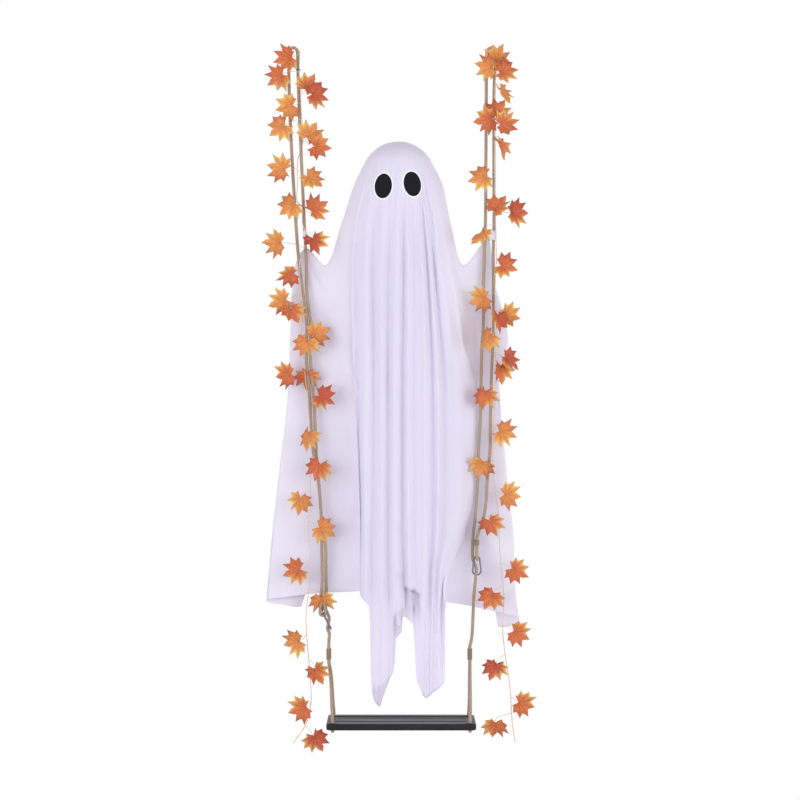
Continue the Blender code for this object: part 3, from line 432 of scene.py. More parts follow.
def leaf_material():
    """Printed cloth leaf: painted colours, pressed veins and a coarse weave."""
    made, tree, base = shader("leaf_look", (0.75, 0.22, 0.05), 0.75)
    here = coords(tree)
    mottle = ranged(tree, noise_at(tree, here, 90.0, 5.0), 0.70, 1.26)
    mix = node(tree, "ShaderNodeVectorMath", {0: attribute(tree, "tint"), "Scale": mottle},
               operation="SCALE")
    feed(base, {"Base Color": mix.outputs["Vector"], "Subsurface Weight": 0.1,
                "Subsurface Radius": (0.004, 0.002, 0.001), "Subsurface Scale": 0.5})
    bump(tree, base, attribute(tree, "vein", "Fac"), 0.6, 0.0012)
    bump(tree, base, woven(tree, here, 260.0), 0.15, 0.0002)
    return made


# Mesh helpers
def build(name, points, faces, shade=None):
    mesh = bpy.data.meshes.new(name)
    mesh.from_pydata([tuple(float(c) for c in p) for p in points], [], faces)
    mesh.validate()
    mesh.update()
    if shade:
        mesh.materials.append(shade)
    made = bpy.data.objects.new(name, mesh)
    bpy.context.scene.collection.objects.link(made)
    return made


def smooth(item, angle=None):
    for face in item.data.polygons:
        face.use_smooth = True
    if angle:
        item.data.set_sharp_from_angle(angle=math.radians(angle))
    return item


def place(item, body, slot, *nodes):
    """Scale to metres, ride on its body and stand for its solids."""
    item.data.transform(Matrix.Scale(MM, 4))
    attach(item, body)
    if nodes:
        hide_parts(*nodes)
    return item


def fix_normals(item):
    work = bmesh.new()
    work.from_mesh(item.data)
    bmesh.ops.recalc_face_normals(work, faces=work.faces)
    work.to_mesh(item.data)
    work.free()
    return item


def finished(item, shade, angle, body, slot, name):
    """Last steps of a piece that was cut and joined from others."""
    fix_normals(item)
    item.data.materials.clear()
    item.data.materials.append(shade)
    smooth(item, angle)
    place(item, body, slot, name)


def paint(item, name, values):
    """Tones or colours, one for each point."""
    layer = item.data.color_attributes.new(name, "FLOAT_COLOR", "POINT")
    colours = [(v, v, v, 1.0) if np.isscalar(v) else v for v in values]
    layer.data.foreach_set("color", np.array(colours, float).ravel())


def merged(parts):
    """Points and faces of several parts as one."""
    verts, faces = [], []
    for points, sides in parts:
        base = len(verts)
        verts += list(points)
        faces += [tuple(base + i for i in face) for face in sides]
    return verts, faces


def band(low, high, count, flip=False):
    """Faces between the rings of count points that start at low and at high."""
    faces = []
    for k in range(count):
        n = (k + 1) % count
        face = (low + k, low + n, high + n, high + k)
        faces.append((face[0], *face[:0:-1]) if flip else face)
    return faces


def skin(rings, count, start=0, closed=False, flip=False):
    """Faces between each ring and the next."""
    faces = []
    for j in range(rings if closed else rings - 1):
        faces += band(start + j * count, start + (j + 1) % rings * count, count, flip)
    return faces


def fan(count, start=0):
    return [(start, start + 1 + k, start + 1 + (k + 1) % count) for k in range(count)]


def shell(rings):
    """Points and faces of a closed solid through rings of as many points each."""
    count = len(rings[0])
    last = (len(rings) - 1) * count
    ends = [tuple(reversed(range(count))), tuple(range(last, last + count))]
    return [point for ring in rings for point in ring], skin(len(rings), count) + ends


def even(route, step):
    """Smooth line through a route's points, at even steps."""
    points = np.array(route, float)
    padded = np.vstack([2 * points[0] - points[1], points, 2 * points[-1] - points[-2]])
    gaps = np.sqrt(np.linalg.norm(np.diff(padded, axis=0), axis=1))
    knots = np.concatenate([[0], np.cumsum(gaps)])
    found = []
    for j in range(1, len(padded) - 2):
        p0, p1, p2, p3 = padded[j - 1:j + 3]
        t0, t1, t2, t3 = knots[j - 1:j + 3]
        count = max(2, int(np.linalg.norm(p2 - p1) / step * 2))
        for t in np.linspace(t1, t2, count, endpoint=False):
            a1 = p0 + (p1 - p0) * (t - t0) / (t1 - t0)
            a2 = p1 + (p2 - p1) * (t - t1) / (t2 - t1)
            a3 = p2 + (p3 - p2) * (t - t2) / (t3 - t2)
            b1 = a1 + (a2 - a1) * (t - t0) / (t2 - t0)
            b2 = a2 + (a3 - a2) * (t - t1) / (t3 - t1)
            found.append(b1 + (b2 - b1) * (t - t1) / (t2 - t1))
    found = np.array(found + [points[-1]])
    run = np.concatenate([[0], np.cumsum(np.linalg.norm(np.diff(found, axis=0), axis=1))])
    wanted = np.linspace(0, run[-1], max(3, int(run[-1] / step)))
    return np.array([[np.interp(w, run, found[:, c]) for c in range(3)] for w in wanted]), run[-1]


def frames(line):
    """Side vectors that turn with the line as little as they can."""
    steps = np.diff(line, axis=0)
    steps /= np.linalg.norm(steps, axis=1)[:, None]
    tangents = np.vstack([steps[:1], steps[:-1] + steps[1:], steps[-1:]])
    tangents /= np.linalg.norm(tangents, axis=1)[:, None]
    side = np.cross(tangents[0], (0.0, 1.0, 0.0))
    if np.linalg.norm(side) < 0.3:
        side = np.cross(tangents[0], (1.0, 0.0, 0.0))
    sides, others = [], []
    for along in tangents:
        side = side - along * np.dot(side, along)
        side /= np.linalg.norm(side)
        sides.append(side.copy())
        others.append(np.cross(along, side))
    return np.array(sides), np.array(others)


def arc(centre, radius, start, end, count):
    turns = [math.radians(start + (end - start) * k / count) for k in range(count + 1)]
    return [(centre[0] + radius * math.cos(turn), centre[1] + radius * math.sin(turn))
            for turn in turns]


def sweep(points, radius, sides):
    """Closed tube along a route, as points and faces."""
    route = np.array(points, float)
    ring = arc((0, 0), radius, 0, 360, sides)[:-1]
    return shell([[at + u * side + v * other for u, v in ring]
                  for at, side, other in zip(route, *frames(route))])


def tube(name, points, radius, sides=20):
    return build(name, *sweep(points, radius, sides))


def stadium(half, radius, count):
    """Outline of two half circles, spaced along its own y."""
    return arc((0, half), radius, 0, 180, count) + arc((0, -half), radius, 180, 360, count)


def ribbon(route, width, thick):
    """Flat strap along a route that runs away from the camera."""
    half = width / 2
    return build("strap", *shell([[(x - half, y, z), (x + half, y, z), (x + half, y, z + thick),
                                   (x - half, y, z + thick)] for x, y, z in route]))


def hook_frame(at, axes):
    wide, along = Vector(axes[0]), Vector(axes[1])
    across = wide.cross(along)
    turn = Matrix((wide, along, across)).transposed().to_4x4()
    return Matrix.Translation(at) @ turn


def hook_pass(at, axes):
    frame = hook_frame(at, axes)
    return [tuple(frame @ Vector(p)) for p in HOOK_PASS]


def loop(centre_x, radius, sign):
    """Top loop from the outer strand over to the inner one."""
    top = -ROPE_R - radius
    flat = arc((0.0, top), radius, 180, 0, 10)
    return [(centre_x - sign * x, 0.0, z) for x, z in flat]


def under_seat(x):
    """Down the front hole, under the seat and up the rear hole."""
    low = SEAT_TOP_Z - SEAT_THICK
    side = [(-HOLE_Y + 3.5, SEAT_TOP_Z + 11), (-HOLE_Y + 0.5, SEAT_TOP_Z - 1),
            (-HOLE_Y, SEAT_TOP_Z - 7), (-HOLE_Y, low + 2), (-HOLE_Y + 1, low - 2),
            (-HOLE_Y + 4, low - 5.3), (-HOLE_Y + 8, low - 5.2),
            (-HOLE_Y + 14, low - ROPE_R - GAP)]
    return [(x, y, z) for y, z in side] + [(x, -y, z) for y, z in reversed(side)]


def legs(top_x, mid_x, low_x, hole_x):
    """From the whipping down one leg, under the seat and up the other."""
    s = STRAND_HALF
    front = [(top_x, -s, LEG_TOP_Z - 3), (top_x, -s, LEG_PART_Z), (mid_x, -16, LEG_MID_Z),
             (low_x, -42, LEG_LOW_Z)]
    rear = [(x, -y, z) for x, y, z in reversed(front[1:])] + [(top_x, s, LEG_TOP_Z)]
    return front + under_seat(hole_x) + rear


def left_rope_route():
    eye_x, eye_z = LEFT_EYE_X, LEFT_HOOK_AT[2] - HOOK_HALF * LEFT_HOOK_AXES[1][2]
    s = STRAND_HALF
    route = [(-168.6, -1.5, -1362), (-169.2, 0, -1374), (eye_x + s, 0, -1390)]
    turn = arc((0.0, 0.0), EYE_R, 0, -180, 8)
    route += [(eye_x + x, 0, eye_z + z) for x, z in turn]
    route += [(eye_x - s, 0, -1390), (eye_x - s, 0, -1372), (-176, -2, -1348),
              (-176.2, 0, -1290), (-176.8, 0, -1252), (-178, -4.8, -1172), (-183, -4.8, -1107),
              (-197.4, -3.6, -1012), (-202.3, 0, -960), (-206.8, 0, -875), (-214.8, 0, -780),
              (-213.6, 0, -700), (-223, 0, -625), (-232.5, 0, -550), (-241, 0, -447),
              (-257.5, 0, -135)]
    route += loop(LOOP_LEFT_X, LOOP_LEFT_R, -1)
    route += [(-233.75, 0, -135), (-220, 0, -447), (-214.75, 0, -550), (-213.5, 0, -625),
              (-204, 0, -700), (-205.2, 0, -780), (-197.2, 0, -875), (-192.7, 0, -960),
              (-190.6, 3.6, -1012), (-183, 4.8, -1107), (-178, 4.8, -1172),
              (-167.2, 0, -1252), (-166.6, 0, -1290), (-166.2, 3, -1325), (-166.2, 9, -1352),
              (-166.5, 10.5, -1380)]
    route += hook_pass(LEFT_HOOK_AT, LEFT_HOOK_AXES)
    x = LEFT_LEG_X
    route += [(x + 0.4, 0, LEG_TOP_Z + 15)]
    return route + legs(x, x + 5, LEFT_HOLE_X - 1.5, LEFT_HOLE_X)


def right_rope_route():
    eye_x, eye_z = RIGHT_HOOK_AT[0], RIGHT_HOOK_AT[2] + HOOK_HALF
    s = STRAND_HALF
    route = [(214, s, -1220), (eye_x, s, -1232), (eye_x, s, eye_z + 26)]
    turn = arc((0.0, 0.0), EYE_R, 0, -180, 8)
    route += [(eye_x, y, eye_z + z) for y, z in turn]
    route += [(eye_x, -s, eye_z + 26), (eye_x, -s, -1233), (216, -s, -1212), (226, -4, -1187),
              (233.75, -2, -1140), (237, -1, -1090), (243.75, 0, -1012), (245, 0, -937),
              (248, 0, -810), (253, 0, -682), (252, 0, -525), (254, 0, -440), (255, 0, -85)]
    route += loop(LOOP_RIGHT_X, LOOP_RIGHT_R, 1)
    route += [(232.5, 0, -440), (230, 0, -525), (228, 0, -590), (227.5, 0, -682),
              (222.75, 0, -780), (219.75, 0, -937), (216, 0, -997), (213, 0, -1092),
              (206, 5, -1187), (201.5, 9, -1228), (200.5, 9.5, -1255)]
    route += hook_pass(RIGHT_HOOK_AT, RIGHT_HOOK_AXES)
    route += [(203.5, -5, -1372), (202, -1, -1412), (198.75, -3, LEG_TOP_Z + 25)]
    x = RIGHT_LEG_X
    return route + legs(x, x, RIGHT_HOLE_X + 0.9, RIGHT_HOLE_X)


def hook_w(v):
    """Sideways place of the straight side of the ring at height v."""
    rise = (v - HOOK_TOP_V) / (HOOK_LOW_V - HOOK_TOP_V)
    return HOOK_TOP_R + (HOOK_LOW_R - HOOK_TOP_R) * rise


# Ropes: three strands laid into one rope
def laid_rope(name, route, shade):
    line, length = even(route, ROPE_STEP)
    around = LOBE_POINTS * 3
    strand = ROPE_R * 0.66
    centre = ROPE_R - strand
    runs = np.concatenate([[0], np.cumsum(np.linalg.norm(np.diff(line, axis=0), axis=1))])
    verts, depth, places = [], [], []
    for at, side, other, run in zip(line, *frames(line), runs):
        twist = 2 * math.pi * run / ROPE_PITCH
        fuzz = 1 + 0.02 * math.sin(run * 0.37) + 0.015 * math.sin(run * 1.13)
        for k in range(around):
            angle = ((k % LOBE_POINTS) / LOBE_POINTS - 0.5) * 2 * math.pi / 3
            reach = centre * math.cos(angle)
            reach += math.sqrt(strand ** 2 - (centre * math.sin(angle)) ** 2)
            turn = twist + 2 * math.pi * k / around
            verts.append(at + reach * fuzz * (math.cos(turn) * side + math.sin(turn) * other))
            # Painted shade: the tone drops towards the grooves between the strands, where shade
            # falls.
            depth.append(0.72 + 0.28 * clamp((reach / ROPE_R - 0.76) / 0.2))
            places.append((k / LOBE_POINTS, run / 9.0))
    rings = [verts[j:j + around] for j in range(0, len(verts), around)]
    made = build(name, *shell(rings), shade)
    paint(made, "depth", depth)
    layer = made.data.uv_layers.new(name="UVMap")
    for index, face in enumerate(made.data.polygons):
        seam = index % around == around - 1
        for corner in face.loop_indices:
            spot = made.data.loops[corner].vertex_index
            u, v = places[spot]
            layer.data[corner].uv = (3.0 if seam and spot % around == 0 else u, v)
    return smooth(made), line, length


def ropes():
    shade = rope_material()
    for name, route in (("left_rope", left_rope_route()), ("right_rope", right_rope_route())):
        made, line, length = laid_rope(name + "_laid", route, shade)
        place(made, "root", "jute", name)


def wound(name, at, half, low, high, turn_z, wire, slot, shade):
    """Twine or wire wound round two strands, turn on turn."""
    ring = stadium(half, ROPE_R + GAP + wire, 10)
    steps = max(2, int((high - low) / (2 * wire))) * len(ring)
    turn = Matrix.Translation((*at, 0)) @ Matrix.Rotation(math.radians(turn_z), 4, "Z")
    points = []
    for j in range(steps + 1):
        level = low + wire + (high - low - 2 * wire) * j / steps
        points.append(tuple(turn @ Vector((*ring[j % len(ring)], level))))
    made = smooth(build(name + "_turns", *sweep(points, wire, 8), shade))
    return place(made, "root", slot, name)


LEFT_STEM = [(-231, -6, -12), (-232.5, -6, -60), (-230, -6, -110), (-227, -6, -170),
             (-225, -4, -192), (-223.3, 1, -215), (-225.5, 6.3, -245), (-232, 6, -268),
             (-236.5, 0, -284), (-237, -6.8, -298), (-237, -6.5, -350),
             (-239, -6.5, -378), (-236, -9, -392), (-226, -7, -402), (-224, -8, -448),
             (-215, -8.5, -466), (-213.5, -8, -486), (-231, -6, -540), (-228.5, -6.5, -610),
             (-223.5, -6.5, -648), (-226, -6, -698), (-229.75, -6, -735), (-222, -6.5, -772),
             (-218.5, -6.5, -815), (-206, -7, -960), (-203.5, -9, -1012), (-204, -11, -1098),
             (-205, -11, -1160), (-210, -11, -1195), (-205, -11, -1260), (-203.5, -11, -1312),
             (-208.5, -11, -1358), (-215.5, -11, -1428), (-208.5, -11, -1535),
             (-203, -11, -1640), (-215, -11, -1692), (-247.5, -11, -1741)]
RIGHT_STEM = [(259, -6, -12), (257.8, -6, -60), (256, -6, -110), (255, -6, -300),
              (257, -6.5, -420), (259.5, -8.5, -510), (256.5, -7, -610), (255.75, -6.5, -760),
              (259, -6.5, -835), (252, -7, -960), (250, -7, -1045), (253, -8, -1090),
              (266.5, -9, -1180), (266.5, -9, -1228), (271, -9, -1300), (278, -9, -1372),
              (275, -9, -1458), (281.5, -9, -1520), (293, -9, -1598), (299, -9, -1688),
              (306.5, -9, -1740)]
LEFT_LEAVES = [(-266, -38, 195, 15), (-286, -88, 215, 10), (-208, -98, 60, 0),
               (-183, -132, 350, 10), (-263, -158, 195, 15), (-281, -212, 215, 10),
               (-203, -218, 60, 0), (-178, -258, 350, 10), (-283, -308, 165, 0),
               (-198, -342, 315, 35), (-258, -408, 215, 20), (-187, -406, 30, 0),
               (-293, -494, 180, 10), (-191, -498, 290, 30), (-261, -578, 195, 45),
               (-280, -642, 200, 5), (-245, -672, 290, 25), (-182, -718, 25, 0),
               (-216, -752, 250, 20), (-268, -824, 190, 0), (-213, -832, 265, 0),
               (-168, -882, 330, 10), (-211, -982, 255, 45), (-185, -1060, 250, 10),
               (-231, -1142, 255, 30), (-168, -1210, 330, 0), (-244, -1312, 200, 0),
               (-176, -1392, 280, 10), (-245, -1488, 200, 5), (-185, -1564, 290, 35),
               (-231, -1654, 200, 0), (-188, -1735, 300, 0)]
RIGHT_LEAVES = [(264, -28, 60, 15), (232, -58, 170, 30), (283, -72, 10, 20), (274, -130, 290, 60),
                (264, -165, 60, 15), (230, -192, 190, 10), (284, -202, 10, 20),
                (273, -260, 290, 60), (217, -335, 200, 20), (263, -400, 60, 30),
                (312, -420, 0, 0), (217, -480, 250, 60), (284, -555, 340, 10),
                (217, -635, 200, 10), (293, -680, 340, 15), (264, -692, 280, 50),
                (235, -738, 230, 40), (293, -790, 330, 45), (270, -818, 280, 40),
                (228, -880, 260, 20), (282, -968, 340, 0), (219, -1054, 250, 0),
                (294, -1122, 350, 0), (247, -1198, 290, 20), (312, -1312, 330, 10),
                (243, -1380, 240, 0), (317, -1468, 330, 0), (252, -1555, 250, 10),
                (329, -1642, 340, 0), (254, -1702, 260, 0)]

# Leaves: lobes run out from the point where the stalk comes in
LEAF_TIPS = [(0, 0.61, 1), (15, 0.44, 0), (20, 0.37, 0), (38, 0.59, 1), (56, 0.38, 0),
             (72, 0.55, 1), (90, 0.35, 0), (106, 0.44, 1), (126, 0.26, 0), (142, 0.31, 1),
             (172, 0.05, 0)]
LEAF_HUB = (-0.19, 0.0)
BEHIND_ROPE = {("left", 20), ("left", 27)}
LEAF_RINGS = (0.22, 0.45, 0.68, 0.86, 1.0)

def leaf_outline(dice):
    """Outline about the hub as (u, v, vein), with a middle point on every side of a lobe."""
    half = []
    for sign in (1, -1):
        stretch = [dice.uniform(0.92, 1.08) for _ in LEAF_TIPS]
        side = []
        for (angle, reach, vein), grow in zip(LEAF_TIPS, stretch):
            turn = math.radians(angle * sign)
            size = reach * (1.0 if angle == 0 else grow)
            side.append((LEAF_HUB[0] + size * math.cos(turn), size * math.sin(turn), vein))
        half.append(side)
    corners = half[0] + list(reversed(half[1][1:]))
    ring = []
    for (u, v, vein), (nu, nv, after) in zip(corners, corners[1:] + corners[:1]):
        mid_u, mid_v = (u + nu) / 2, (v + nv) / 2
        ring += [(u, v, vein), (LEAF_HUB[0] + (mid_u - LEAF_HUB[0]) * 0.975, mid_v * 0.975,
                                0.25 * max(vein, after))]
    return ring


def leaf(place_at, front, dice):
    """Points, faces, colours and veins of one leaf, and where its stalk meets it."""
    x, z, turn, tilt = place_at
    along = Vector((math.cos(math.radians(turn)), 0, math.sin(math.radians(turn))))
    flat = Vector((-along.z, 0, along.x))
    lean = math.radians(tilt)
    across = flat * math.cos(lean) + Vector((0, math.sin(lean), 0))
    out = along.cross(across)
    if out.y > 0:
        out = -out
    centre = Vector((x, front - LEAF_LENGTH * 0.5 * math.sin(lean) - 9.0, z))
    ring = leaf_outline(dice)
    cup = dice.uniform(0.20, 0.62)
    curl = dice.uniform(-0.35, 0.45)
    nod = math.radians(dice.uniform(-24, 24))
    phase = dice.uniform(0, 6.28)
    sway = [dice.uniform(-1, 1) for _ in range(6)]
    yellow_side = dice.choice((-1, 1))
    golden = dice.uniform(0.45, 1.0)
    dull = dice.uniform(0.2, 1.0)
    kind = dice.random()
    main = LEAF_RUST if kind < 0.16 else LEAF_WARM if kind > 0.66 else LEAF_BODY
    points, colours, veins = [], [], []

    def add(u, v, reach, vein):
        spin = math.atan2(v, u - LEAF_HUB[0])
        wave = reach * reach * (0.035 * sway[0] * math.sin(5 * v + 3 * sway[1])
                                + 0.045 * math.sin(3 * spin + phase)
                                + 0.030 * sway[2] * math.sin(7 * spin + 3 * sway[3]))
        lift = cup * abs(v) * 0.6 - curl * (u + 0.2) ** 2 + wave + 0.02 * vein * (1 - reach)
        lift += 0.035 * (vein - 0.5) * reach
        tipped = u * math.cos(nod) - lift * math.sin(nod)
        lift = lift * math.cos(nod) + u * math.sin(nod)
        points.append(centre + (along * tipped + across * v + out * lift) * LEAF_LENGTH)
        side = v * yellow_side + 0.25 * (u - 0.1)
        gold = golden * clamp((side + 0.02) * 3.4) * max(0.0, (reach - 0.50) / 0.50) ** 1.2
        red = 0.85 * dull * clamp((-side - 0.04) * 3.2) * max(0.0, (reach - 0.38) / 0.62) ** 1.2
        tint = np.array(main) * (1 - gold) + np.array(LEAF_GOLD) * gold
        tint = tint * (1 - red) + np.array(LEAF_RED) * red
        colours.append((*(tint * (1 - 0.22 * vein * (1 - 0.5 * reach))), 1.0))
        veins.append(vein)

    add(*LEAF_HUB, 0.0, 1.0)
    for reach in LEAF_RINGS:
        for u, v, vein in ring:
            add(LEAF_HUB[0] + (u - LEAF_HUB[0]) * reach, v * reach, reach, vein)
    faces = fan(len(ring)) + skin(len(LEAF_RINGS), len(ring), start=1, flip=True)
    hub = centre + along * (LEAF_HUB[0] * LEAF_LENGTH)
    base = centre + along * (-0.35 * LEAF_LENGTH)
    return points, faces, colours, veins, base, hub


def nearest_on(route, target):
    found = []
    for a, b in zip(route, route[1:]):
        a, b = Vector(a), Vector(b)
        found.append(a.lerp(b, clamp((target - a).dot(b - a) / (b - a).length_squared)))
    return min(found, key=lambda spot: (spot - target).length)


def leaf_front(place_at, behind, placed):
    """Far enough forward of the ropes, the stem and the leaves already placed."""
    near = [at - 7.0 for other, at in placed if math.dist(other[:2], place_at[:2]) < 56.0]
    return 11.0 if behind else min([-13.0] + near)


def garland(side, stem, leaves, seed):
    """Stem swept as a tube, with the leaves as one more piece and their stalks as another."""
    dice = random.Random(seed)
    line, length = even(stem, 4.0)
    vine = build(side + "_stem", *sweep(line, STEM_R, 10), stem_look)
    sheets, colours, veins, stalks, placed = [], [], [], [], []
    for index, place_at in enumerate(leaves):
        front = leaf_front(place_at, (side, index) in BEHIND_ROPE, placed)
        placed.append((place_at, front))
        points, faces, tints, lines, base, hub = leaf(place_at, front, dice)
        sheets.append((points, faces))
        colours += tints
        veins += lines
        root = nearest_on([tuple(p) for p in line], base + Vector((0, 0, 8)))
        bend = root.lerp(base, 0.55) + Vector((0, -1.0, 2.0))
        route, _ = even([root, bend, base, hub], 3.0)
        stalks.append(sweep(route, STALK_R, 8))
    made = build(side + "_leaves", *merged(sheets), leaf_look)
    paint(made, "tint", colours)
    paint(made, "vein", veins)
    thick = made.modifiers.new("thickness", "SOLIDIFY")
    thick.thickness = 0.5 * MM
    thick.offset = 0.0
    twigs = build(side + "_stalks", *merged(stalks), stem_look)
    for piece in (vine, made, twigs):
        place(smooth(piece), "root", "leaf_orange", side + "_garland")


# Cloth. Each drape line runs from the crown to the hem as (x, y, z) stations.
FACE_Z = [-315, -345, -440, -548, -640, -690, -740, -800, -880, -1060, -1230, -1320]


def down(flat, hem):
    return [(x, y, z) for (x, y), z in zip(flat, FACE_Z)] + [hem]


DRAPE_LINES = [
    (-180, down([(15, 105), (15, 106), (14, 107), (13, 108), (13, 108), (12, 109), (12, 109),
                 (12, 110), (12, 110), (12, 111), (12, 112), (12, 112)], (12, 112, -1345))),
    (-145, down([(-40, 88), (-49, 90), (-60, 92), (-75, 94), (-82, 95), (-86, 96), (-90, 96),
                 (-95, 97), (-100, 98), (-108, 99), (-115, 100), (-118, 100)], (-120, 100, -1350))),
    (-112, [(-74, 45, -315), (-86, 47, -345), (-115, 50, -440), (-140, 45, -548),
            (-175, 40, -600), (-200, 44, -640), (-203, 47, -700), (-205, 50, -780),
            (-208, 52, -880), (-215, 55, -1060), (-225, 58, -1230), (-232, 59, -1300),
            (-238, 60, -1350)]),
    (-90, [(-82, 12, -315), (-95, 12, -345), (-126, 12, -440), (-168, 13, -548),
           (-216, 16, -505), (-241, 20, -540), (-251, 24, -600), (-256, 27, -720),
           (-261, 30, -860), (-283, 34, -1060), (-302, 38, -1230), (-310, 39, -1320),
           (-315, 40, -1384)]),
    (-75, down([(-78, -12), (-90, -12), (-120, -14), (-140, -6), (-165, 8), (-170, 12),
                (-175, 16), (-177, 19), (-178, 22), (-180, 26), (-182, 28), (-183, 29)],
               (-185, 30, -1368))),
    (-62, down([(-74, -32), (-81, -32), (-105, -34), (-118, -30), (-120, -25), (-117, -20),
                (-115, -15), (-108, -10), (-100, -5), (-76, 4), (-70, 8), (-70, 9)],
               (-70, 10, -1362))),
    (-52, down([(-62, -42), (-71, -46), (-92, -50), (-100, -55), (-100, -60), (-99, -63),
                (-98, -66), (-96, -69), (-92, -72), (-85, -76), (-81, -78), (-81, -78)],
               (-81, -78, -1367))),
    (-28, down([(-29, -70), (-30, -70), (-36, -74), (-40, -78), (-39, -81), (-39, -83),
                (-38, -84), (-38, -86), (-38, -87), (-38, -89), (-40, -90), (-41, -91)],
               (-44, -92, -1612))),
    (0, down([(15, -81.5), (15, -82), (14, -84), (13, -86), (12, -88), (12, -89), (11, -90),
              (10, -91), (10, -92), (10, -94), (10, -95), (12, -95)], (15, -96, -1470))),
    (28, down([(59, -70), (60, -70.5), (64, -75), (70, -79), (73, -82), (74, -83), (75, -84),
               (75, -86), (75, -87), (75, -90), (76, -90), (76, -90)], (76, -90, -1615))),
    (42, down([(78, -58), (80, -58), (95, -62), (108, -66), (118, -66), (122, -65), (127, -64),
               (132, -63), (137, -62), (137, -60), (128, -64), (114, -72)], (104, -80, -1604))),
    (56, down([(92, -40), (105, -41), (122, -48), (140, -45), (160, -40), (168, -37),
               (175, -34), (194, -12), (212, 14), (212, 14), (180, 2), (148, -28)],
              (130, -70, -1580))),
    (66, down([(100, -26), (112, -30), (133, -32), (150, -28), (172, -20), (180, -14),
               (186, -6), (192, 10), (196, 23), (196, 24), (150, 18), (125, 12)],
              (118, 10, -1387))),
    (77, down([(106, -10), (119, -12), (142, -14), (158, -6), (190, 6), (203, 12), (214, 17),
               (224, 21), (235, 25), (240, 27), (235, 30), (222, 31)], (205, 30, -1402))),
    (90, [(112, 12, -315), (125, 12, -345), (145, 12, -440), (179, 13, -549), (241, 16, -475),
          (254, 21, -580), (273, 23, -650), (291, 26, -738), (268, 26, -845),
          (286, 31, -1060), (305, 35, -1250), (308, 35, -1350), (317, 36, -1429)]),
    (112, [(104, 45, -315), (116, 47, -345), (140, 50, -440), (165, 45, -548), (195, 40, -600),
           (212, 44, -640), (220, 47, -700), (226, 50, -780), (232, 52, -880),
           (240, 55, -1060), (248, 58, -1230), (252, 59, -1300), (255, 60, -1360)]),
    (145, down([(70, 88), (79, 90), (90, 92), (105, 94), (112, 95), (117, 96), (122, 96),
                (127, 97), (133, 98), (140, 99), (147, 100), (150, 100)], (152, 100, -1350))),
]
HEM_FRONT = [(-400, -1384), (-86, -1362), (-79, -1377), (-71, -1387), (-57, -1400), (-53, -1598),
             (-50, -1625), (-43, -1642), (-32, -1653), (-5, -1578), (5, -1559), (8, -1482),
             (24, -1465), (26, -1427), (35, -1430), (53, -1445), (60, -1583), (74, -1619),
             (80, -1629), (87, -1631), (109, -1610), (126, -1588), (131, -1575), (400, -1400)]
FOLD_MARKS = [-0.35, 0.17, 0.84, 1.61, 2.28, 2.75, 3.47, 3.90, 4.97]
EDGE_L_LINE = 6
EDGE_R_LINE = 11


def slopes(knots, values, periodic):
    """Monotone cubic slopes, so that the surface never overshoots a station."""
    if periodic:
        near = np.diff(np.append(knots, knots[0] + 360.0))
        after = (np.roll(values, -1, axis=0) - values) / near[:, None]
        before, wide = np.roll(after, 1, axis=0), np.roll(near, 1)
    else:
        gaps = np.diff(knots)
        rises = np.diff(values, axis=0) / gaps[:, None]
        before, after = np.vstack([rises[:1], rises]), np.vstack([rises, rises[-1:]])
        wide, near = np.append(gaps[:1], gaps), np.append(gaps, gaps[-1:])
    slope = np.zeros_like(values)
    for (j, c), p in np.ndenumerate(before):
        q = after[j, c]
        if p * q > 0:
            one, two = 2 * near[j] + wide[j], near[j] + 2 * wide[j]
            slope[j, c] = (one + two) / (one / p + two / q)
    return slope


def hermite(a, b, at_a, at_b, width, t):
    return ((1 + 2 * t) * (1 - t) ** 2 * a + t * (1 - t) ** 2 * width * at_a
            + t * t * (3 - 2 * t) * b + t * t * (t - 1) * width * at_b)


def fit_to_head(point):
    """Widen the upper stations with the ball, and leave those below the shoulders."""
    x, y, z = point
    top = HEAD_AT[2] + DRAPE_R * 0.18
    grow = 1 + (CLOTH_R / DRAPE_R - 1) * clamp((z - DRAPE_EVEN_Z) / (top - DRAPE_EVEN_Z))
    return (HEAD_AT[0] + (x - HEAD_AT[0]) * grow, HEAD_AT[1] + (y - HEAD_AT[1]) * grow, z)


def to_depth(point):
    """Bring a station from the ropes' plane to its own depth."""
    x, y, z = point
    k = 1 + y / VIEW_FAR
    return (EYE_LEVEL_X + (x - EYE_LEVEL_X) * k, y, EYE_LEVEL_Z + (z - EYE_LEVEL_Z) * k)


def seen_at(x, y, z):
    """Where a place shows in the ropes' plane."""
    k = 1 + y / VIEW_FAR
    return EYE_LEVEL_X + (x - EYE_LEVEL_X) / k, EYE_LEVEL_Z + (z - EYE_LEVEL_Z) / k


def hem_height(x, y):
    """Height of the front hem at a place across."""
    level = float(np.interp(seen_at(x, y, 0.0)[0], *zip(*HEM_FRONT)))
    return to_depth((x, y, level))[2]


def line_points(rows):
    """Points of every drape line at each row station."""
    knots = np.array([*(-z for z in FACE_Z), 1500.0])
    lines = []
    for _, stations in DRAPE_LINES:
        values = np.array([to_depth(fit_to_head(p)) for p in stations], float)
        slope = slopes(knots, values, False)
        found = []
        for row in rows:
            j = min(int(row), len(knots) - 2)
            found.append(hermite(values[j], values[j + 1], slope[j], slope[j + 1],
                                 knots[j + 1] - knots[j], row - j))
        lines.append(found)
    return np.array(lines)


